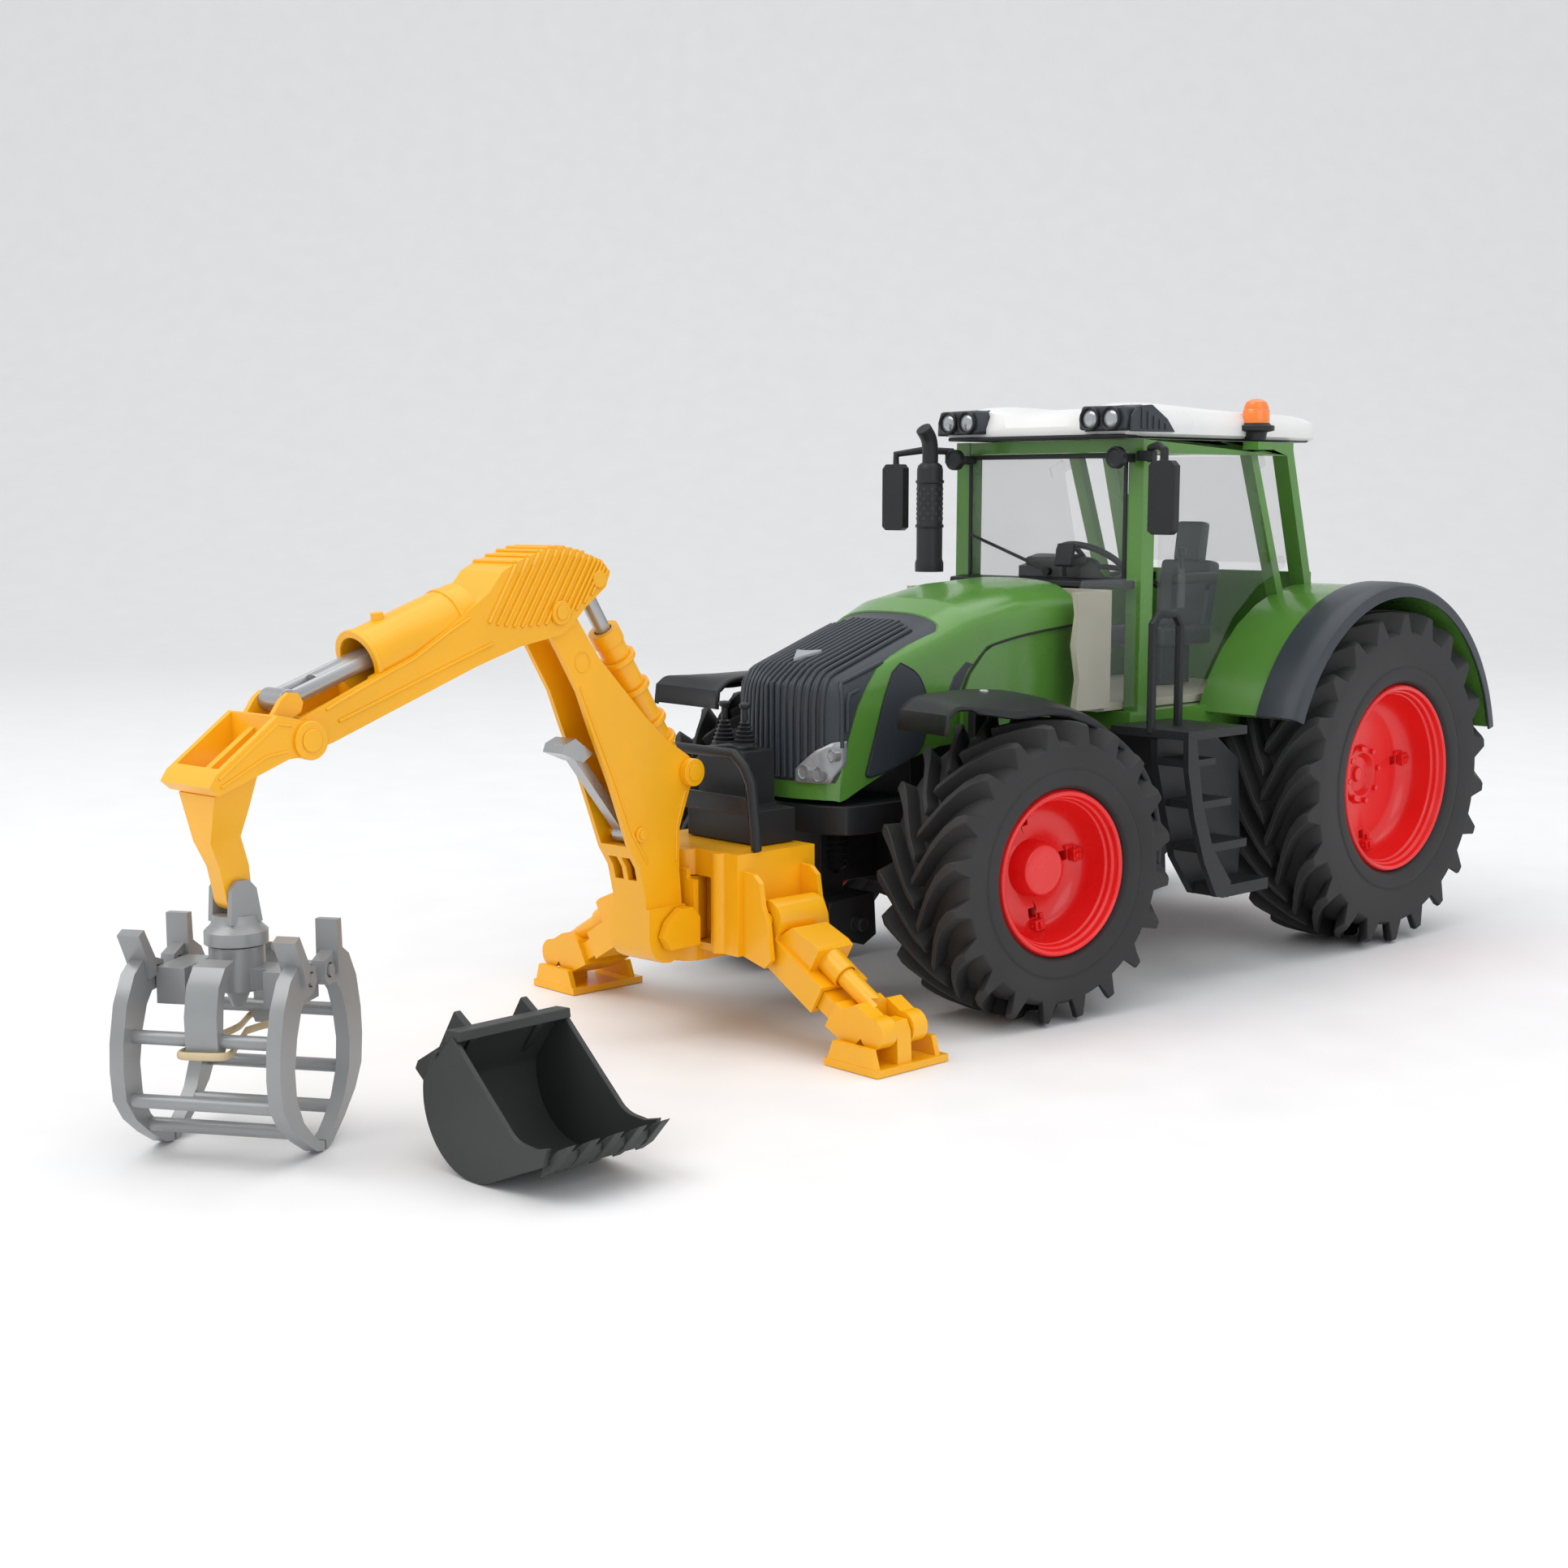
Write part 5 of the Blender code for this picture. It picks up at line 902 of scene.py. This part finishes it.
panes = [box(-37.6, 37.6, -112.2, -111.2, 142.4, 187.0)]
for s, top in ((-1, 132), (1, 143)):
    quarter = [(-146.2, 97), (-146.2, top - 5), (-143.6, top), (-113.6, top), (-113.6, 97)]
    panes.append(prism(quarter, *sorted((s * 43.0, s * 44.0))))
piece("windscreen_pane", join(panes), "glass", "tractor", replaces=["windscreen"], bevel=0.2)
gasket = join([box(*sorted((s * 36.4, s * 37.9)), -113.0, -112.1, 142.4, 187.0) for s in (-1, 1)]
              + [box(-37.6, 37.6, -113.0, -112.1, 185.6, 187.2)])
piece("windscreen_gasket", gasket, "black", "tractor", bevel=0.25)
sill = prism([(-119.0, 139.2), (-118.6, 141.4), (-110.6, 142.2), (-109.0, 139.2)], -42.0, 42.0)
piece("windscreen_sill", sill, "black", "tractor", bevel=0.4)
wiper = join([tube([(-35.6, -113.4, 157), (-18, -113.9, 151.4), (2, -113.8, 144.6)], 0.45, 8),
              tube([(-35.8, -113.3, 157.6), (-8, -113.6, 148.6)], 0.3, 6),
              rod((2, -114.4, 144.4), (2, -112.4, 144.4), 1.6, 14)])
piece("wiper", wiper, "black", "tractor", bevel=0)


# ---- exhaust, levers and bellows
stack_axis = (-40, -132.5, 0)
stack = join([
    lathe([(143.6, 0), (143.6, 5.4), (147, 5.4), (148.4, 4.9), (182, 4.9), (183.4, 4.5), (184.4, 3.4), (184.6, 0)],
          36, "Z", stack_axis, closed=False),
    lathe([(160.2, 5.0), (160.2, 5.35), (161.4, 5.35), (161.4, 5.0)], 36, "Z", stack_axis),
    lathe([(176.8, 5.0), (176.8, 5.35), (178.0, 5.35), (178.0, 5.0)], 36, "Z", stack_axis),
])
piece("exhaust_stack", stack, "black", "tractor", replaces=["exhaust"], bevel=0.2)
pipe = smooth_path([(-40, -132.5, 183), (-40, -132.5, 189), (-40, -133.4, 193.4), (-40, -136.4, 197.2)], 6)
piece("exhaust_tip", tube(pipe, 3.0, 24), "black", "tractor", bevel=0.25)
holes = []
for row in range(7):
    for k in range(10):
        t = 2 * math.pi * (k + 0.5 * (row % 2)) / 10
        a = (-40 + 4.7 * math.cos(t), -132.5 + 4.7 * math.sin(t), 163.6 + 1.85 * row)
        b = (-40 + 5.05 * math.cos(t), -132.5 + 5.05 * math.sin(t), 163.6 + 1.85 * row)
        holes.append(rod(a, b, 0.55, 8))
piece("exhaust_perforations", join(holes), "slate", "tractor", bevel=0)
for x, name in ((0.8, "lever_left"), (-9.2, "lever_right")):
    profile = [(91.4, 0), (91.4, 4.2)]
    for k in range(6):
        r = 4.2 - 0.45 * k
        profile += [(91.7 + 1.35 * k, r), (92.3 + 1.35 * k, r - 1.0)]
    profile += [(99.6, 1.15), (103.0, 1.05), (103.4, 1.7), (104.4, 2.0), (105.0, 1.5), (105.2, 0)]
    boot = lathe(profile, 28, "Z", (x, -263.6, 0), closed=False)
    piece(name + "_boot", boot, "black", name, replaces=[name], bevel=0)
bellows = []
for x in (-6, 9):
    profile = [(70.5, 0)]
    for k in range(11):
        profile += [(70.5 - 2.2 * k, 4.4), (69.4 - 2.2 * k, 3.1)]
    profile += [(45.4, 0)]
    bellows.append(lathe(profile, 24, "Z", (x, -230, 0), closed=False))
piece("linkage_bellows", join(bellows), "black", "tractor", bevel=0)

# ---- bucket
BELLY = arc((-4.0, 20.0), 20.0, 172, 297, 30)
INNER_BELLY = arc((-4.0, 20.0), 18.4, 297, 172, 30)
SHELL = BELLY + [(24, 10), (24.4, 11.6)] + INNER_BELLY + [(-13.0, 34.6), (-11.6, 36.6), (-18.6, 29.8)]
MOUTH = smooth_path([(20.6, 13.7, 0), (13.4, 14.7, 0), (7.2, 19.6, 0), (-11.3, 36.3, 0)], 6)
SIDE = BELLY + [(24, 10), (25.7, 15)] + [(q.x, q.y) for q in MOUTH]
bucket_parts = [prism(SHELL, 0.6, 37.4, "Y"), prism(SIDE, 0, 1.6, "Y"), prism(SIDE, 36.4, 38, "Y")]
piece("bucket_shell", join(bucket_parts), "dark", "bucket", BUCKET, ["bucket"], bevel=0.3)
teeth = []
for k in range(5):
    y = 3.4 + 7.8 * k
    tooth = [(20.6, 6.2), (24.6, 9.0), (31.2, 16.4), (27.4, 14.6), (22.0, 10.4)]
    teeth.append(prism(tooth, y - 1.6, y + 1.6, "Y"))
    if k < 4:
        gap = [(22.4, 7.4), (25.6, 10.6), (26.6, 13.2), (24.0, 11.4)]
        teeth.append(prism(gap, y + 1.4, y + 6.4, "Y"))
piece("bucket_teeth", join(teeth), "dark", "bucket", BUCKET, bevel=0.3)
ear = [(-19.3, 40.6), (-12.6, 36.4), (-12.4, 34.0), (-17, 27.6), (-23, 23.4), (-33, 19.4), (-36.6, 22.2),
       (-35.4, 24.6), (-26, 30)]
ears = [prism(ear, y - 1.1, y + 1.1, "Y") for y in (8, 30)]
ears.append(prism([(-14.4, 34.2), (-14.6, 37.6), (-9.0, 38.0), (-8.6, 35.4)], 0.6, 37.4, "Y"))
ears.append(rod((-24, 6.8, 27.6), (-24, 31.2, 27.6), 1.5, 18))
back_rib = [(-22.8, 14), (-24.9, 20), (-24.4, 25), (-21.6, 30.6), (-20.4, 30), (-23.4, 20)]
for y in (2.6, 14.8, 22.4, 34.2):
    ears.append(prism(back_rib, y - 0.6, y + 0.6, "Y"))
piece("bucket_ears", join(ears), "dark", "bucket", BUCKET, bevel=0.3)


# ---- digging arm dressing
def boss(sz, inner, outer, radius):
    """A round pin head standing out of a plate, with a smaller step on it."""
    lo, hi = sorted((inner, outer))
    step = 0.5 if outer > inner else -0.5
    return join([rod(at_reach(lo, sz), at_reach(hi, sz), radius, 32),
                 rod(at_reach(outer, sz), at_reach(outer + step, sz), radius * 0.6, 32)])


STICK_HALF, BOOM_HALF, LINK_HALF = 9.3, 7.3, 11.3
TAIL_TOP = [(41.0, 149.2), (45, 153.3), (50, 155.0), (60.9, 157.3), (67.7, 156.8), (78.3, 153.5),
            (83.8, 150.7), (88.8, 145.1), (96, 140)]
TAIL_LOW = [(41.0, 147.0), (48, 143.6), (54, 139.4), (60, 136.0), (68, 134.6), (78, 134.2), (86, 135.2),
            (93, 137.0)]


def line_height(line, s):
    for a, b in zip(line, line[1:]):
        if s <= b[0]:
            return a[1] + (b[1] - a[1]) * max(0.0, (s - a[0]) / (b[0] - a[0]))
    return line[-1][1]


ribs = []
for k in range(15):
    s_low = 46.5 + 3.05 * k
    z_low = line_height(TAIL_LOW, s_low) + 0.4
    s_high, z_high = s_low, z_low
    while z_high < line_height(TAIL_TOP, s_high) - 0.9:
        s_high -= 0.40
        z_high += 0.62
    for side in (-1, 1):
        x = side * (STICK_HALF + 0.12)
        ribs.append(reach_tube(x, ((s_low, z_low), (s_high, z_high)), 0.62))
    if s_high > 51:
        z = line_height(TAIL_TOP, s_high) + 0.12
        x = STICK_HALF - 0.2
        ribs.append(tube([at_reach(-x, (s_high, z)), at_reach(x, (s_high, z))], 0.62, 8))
piece("stick_tail_ribs", join(ribs), "yellow", "stick", ARM, bevel=0)
cover = [(s, line_height(TAIL_TOP, s) - 0.05) for s in (43, 46, 50, 55, 61, 67.7, 73, 78.3, 83.8)]
under = [(s, z - 1.2) for s, z in reversed(cover)]
tail_cover = prism(forward(cover + under), -STICK_HALF + 0.8, STICK_HALF - 0.8)
piece("stick_tail_cover", tail_cover, "yellow", "stick", ARM, bevel=0.2)
heads = []
for side in (-1, 1):
    heads += [boss((152.9, 108.3), side * 9.2, side * 12.4, 5.2)]
    heads += [boss((62.3, 138.2), side * 9.2, side * 10.6, 3.6)]
    heads += [rod(at_reach(side * 9.0, (46.5, 147.6)), at_reach(side * 10.2, (46.5, 147.6)), 2.6, 24)]
piece("stick_pin_heads", join(heads), "yellow", "stick", ARM, bevel=0.35)
collar = []
RAM_EYE = (154.5, 118.4)
RAM_SLOPE = math.radians(18.5)
RAM_DIR = Vector((math.cos(RAM_SLOPE), -math.sin(RAM_SLOPE)))


def on_ram(back):
    """A place on the stick's ram, measured back from the link's pin."""
    return (RAM_EYE[0] - RAM_DIR.x * back, RAM_EYE[1] - RAM_DIR.y * back)


for back in (28.2, 60):
    ring = lathe([(-0.8, 9.1), (0.8, 9.1), (0.8, 6.9), (-0.8, 6.9)], 40, "X")
    collar.append(aimed(ring, (0, -RAM_DIR.x, RAM_DIR.y), at_reach(0, on_ram(back))))
peg = rod(at_reach(0, on_ram(36)), Vector(at_reach(0, on_ram(36))) + Vector((0, -1.2, 10.6)), 1.8, 18)
piece("stick_tube_rings", join(collar + [peg]), "yellow", "stick", ARM, bevel=0.25)
lip = []
for side in (-1, 1):
    x = side * (STICK_HALF + 0.1)
    lip.append(reach_tube(x, ((88, 130.4), (104, 125.2), (130, 116.4), (142, 112.4)), 0.55))
    lip.append(reach_tube(x, ((96, 138.2), (103, 134.8), (116.2, 127.6), (130, 122.4), (146, 115.8)), 0.45))
piece("stick_side_lines", join(lip), "yellow", "stick", ARM, bevel=0)

ram_flat = []
for side in (-1, 1):
    path = [on_ram(-1.5), on_ram(6), on_ram(30), on_ram(40)]
    ram_flat.append(tube([at_reach(side * 3.3, p) for p in path], 1.35, 12, flat=1.7))
ram_flat.append(tube([at_reach(0, on_ram(b)) for b in (12, 24, 52)], 3.6, 20, flat=0.72))
ram_flat.append(rod(at_reach(-4.8, RAM_EYE), at_reach(4.8, RAM_EYE), 3.2, 28))
piston = lathe([(0, 6.4), (3, 6.4), (3, 0), (0, 0)], 32, "X")
ram_flat.append(aimed(piston, (0, RAM_DIR.x, -RAM_DIR.y), at_reach(0, on_ram(50))))
piece("ram_fork", join(ram_flat), "chrome", "ram_rod", ARM, ["ram_rod"], bevel=0.2)

CYLINDER_FOOT, CYLINDER_HEAD, STAY_PIN = (6.3, 85.6), (46.5, 147.6), (28, 68)
dress = []
for side in (-1, 1):
    x = side * (BOOM_HALF + 0.05)
    dress.append(boss(CYLINDER_FOOT, side * BOOM_HALF, side * (BOOM_HALF + 2.6), 4.4))
    dress.append(boss(STAY_PIN, side * BOOM_HALF, side * (BOOM_HALF + 1.0), 2.4))
    dress.append(reach_tube(x, ((12.4, 58), (12.2, 69.4), (8.2, 80.0)), 0.5))
    dress.append(reach_tube(x, ((25, 58.6), (31.4, 68.4), (39.0, 86.6), (47.0, 103.4), (52.4, 115.6)), 0.5))
    spots = [circle_point(3.0, a) for a in range(0, 360, 15)]
    dress.append(tube([at_reach(x, (51.5 + a, 123 + b)) for a, b, _ in spots], 0.3, 6, closed=True))
piece("boom_dressing", join(dress), "yellow", "boom", ARM, bevel=0.25)
straps = []
CYL_DIR = (Vector(CYLINDER_HEAD) - Vector(CYLINDER_FOOT)).normalized()
for along in (12, 20, 33, 44):
    ring = lathe([(-0.9, 5.9), (0.9, 5.9), (0.9, 4.4), (-0.9, 4.4)], 28, "X")
    spot = at_reach(0, (CYLINDER_FOOT[0] + CYL_DIR.x * along, CYLINDER_FOOT[1] + CYL_DIR.y * along))
    straps.append(aimed(ring, (0, -CYL_DIR.x, CYL_DIR.y), spot))
piece("barrel_straps", join(straps), "yellow", "cylinder_barrel", ARM, bevel=0.25)
link_dress = []
for side in (-1, 1):
    x = side * (LINK_HALF + 0.05)
    link_dress.append(reach_tube(x, ((158.5, 112.6), (163.0, 113.4), (181.0, 100.6)), 0.45))
    link_dress.append(reach_tube(x, ((160, 106.0), (166.5, 105.2), (180.6, 98.4)), 0.45))
piece("link_side_lines", join(link_dress), "yellow", "link", ARM, bevel=0)


# ---- rubber band that holds the grapple shut
def band_half(name, face):
    """Half of the rubber band, hooked round one jaw's middle plate and meeting the other half at the middle."""
    loop = [(-2.0, 0, 31.3), (-3.6, -8, 31.0), (-5.6, -16.5, 30.2), (-6.2, -21.5, 30.0), (-4.2, -23.9, 30.2),
            (0.6, -24.4, 30.4), (5.2, -23.9, 30.4), (7.0, -21.5, 30.2), (6.2, -16.5, 30.0),
            (3.8, -8, 30.4), (2.0, 0, 31.3)]
    path = smooth_path([(face * x, face * y, z) for x, y, z in loop], 6)
    obj = piece(name, tube(path, 0.62, 12, flat=1.7), "band", None, GRAPPLE, bevel=0)
    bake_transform(obj)


band_half("rubber_band_near", 1)
band_half("rubber_band_far", -1)


# ---- stage, light and camera
SWEEP_START, SWEEP_RADIUS, FLOOR_Z = 1.5, 1.4, -0.0002
VIEW_TURN = 46.94


def floor():
    """A pale sweep: flat underneath and curving up far behind the object."""
    profile = [(-4.0, FLOOR_Z), (SWEEP_START, FLOOR_Z)]
    profile += [(SWEEP_START + SWEEP_RADIUS * math.sin(math.radians(3 * k)),
                 FLOOR_Z + SWEEP_RADIUS * (1 - math.cos(math.radians(3 * k)))) for k in range(1, 31)]
    profile.append((SWEEP_START + SWEEP_RADIUS, 4.5))
    turn = Matrix.Rotation(math.radians(VIEW_TURN), 4, "Z")
    bm = grid_skin([[turn @ Vector((x, y, z)) for y, z in profile] for x in (-6.0, -2.0, 2.0, 6.0)])
    bmesh.ops.reverse_faces(bm, faces=bm.faces)
    mesh = bpy.data.meshes.new("studio_floor")
    bm.to_mesh(mesh)
    bm.free()
    mesh.shade_smooth()
    mesh.materials.append(node_material("studio_white", (0.86, 0.86, 0.865), 0.6, 0.01, bump=0.0))
    obj = bpy.data.objects.new("studio_floor", mesh)
    bpy.context.scene.collection.objects.link(obj)


floor()


def area_light(name, place, target, size, power, colour=(1, 1, 1)):
    data = bpy.data.lights.new(name, "AREA")
    data.shape = "RECTANGLE"
    data.size, data.size_y = size
    data.energy = power
    data.color = colour
    obj = bpy.data.objects.new(name, data)
    obj.location = place
    obj.rotation_euler = (Vector(target) - Vector(place)).to_track_quat("-Z", "Y").to_euler()
    bpy.context.scene.collection.objects.link(obj)


CENTRE = (0.0, 0.0, 0.08)
area_light("key", (-0.35, -1.0, 1.35), CENTRE, (1.3, 0.9), 9.0, (1.0, 0.985, 0.96))
area_light("fill", (1.5, -0.35, 0.9), CENTRE, (1.2, 1.0), 3.5, (0.96, 0.98, 1.0))
area_light("top", (0.1, 0.35, 1.5), CENTRE, (1.6, 1.6), 8.0)

world = bpy.data.worlds.new("studio")
world.use_nodes = True
world.node_tree.nodes["Background"].inputs["Color"].default_value = (0.97, 0.98, 1.0, 1)
world.node_tree.nodes["Background"].inputs["Strength"].default_value = 0.80
bpy.context.scene.world = world
bpy.context.scene.view_settings.view_transform = "Standard"

camera_data = bpy.data.cameras.new("camera")
camera_data.lens = 49.5
camera_data.sensor_width = 36.0
camera = bpy.data.objects.new("camera", camera_data)
camera.location = TRACTOR @ Vector((0.5228, -0.7338, 0.1725))
camera.rotation_euler = (math.radians(90 - 7.64), 0, math.radians(46.94))
bpy.context.scene.collection.objects.link(camera)
bpy.context.scene.camera = camera
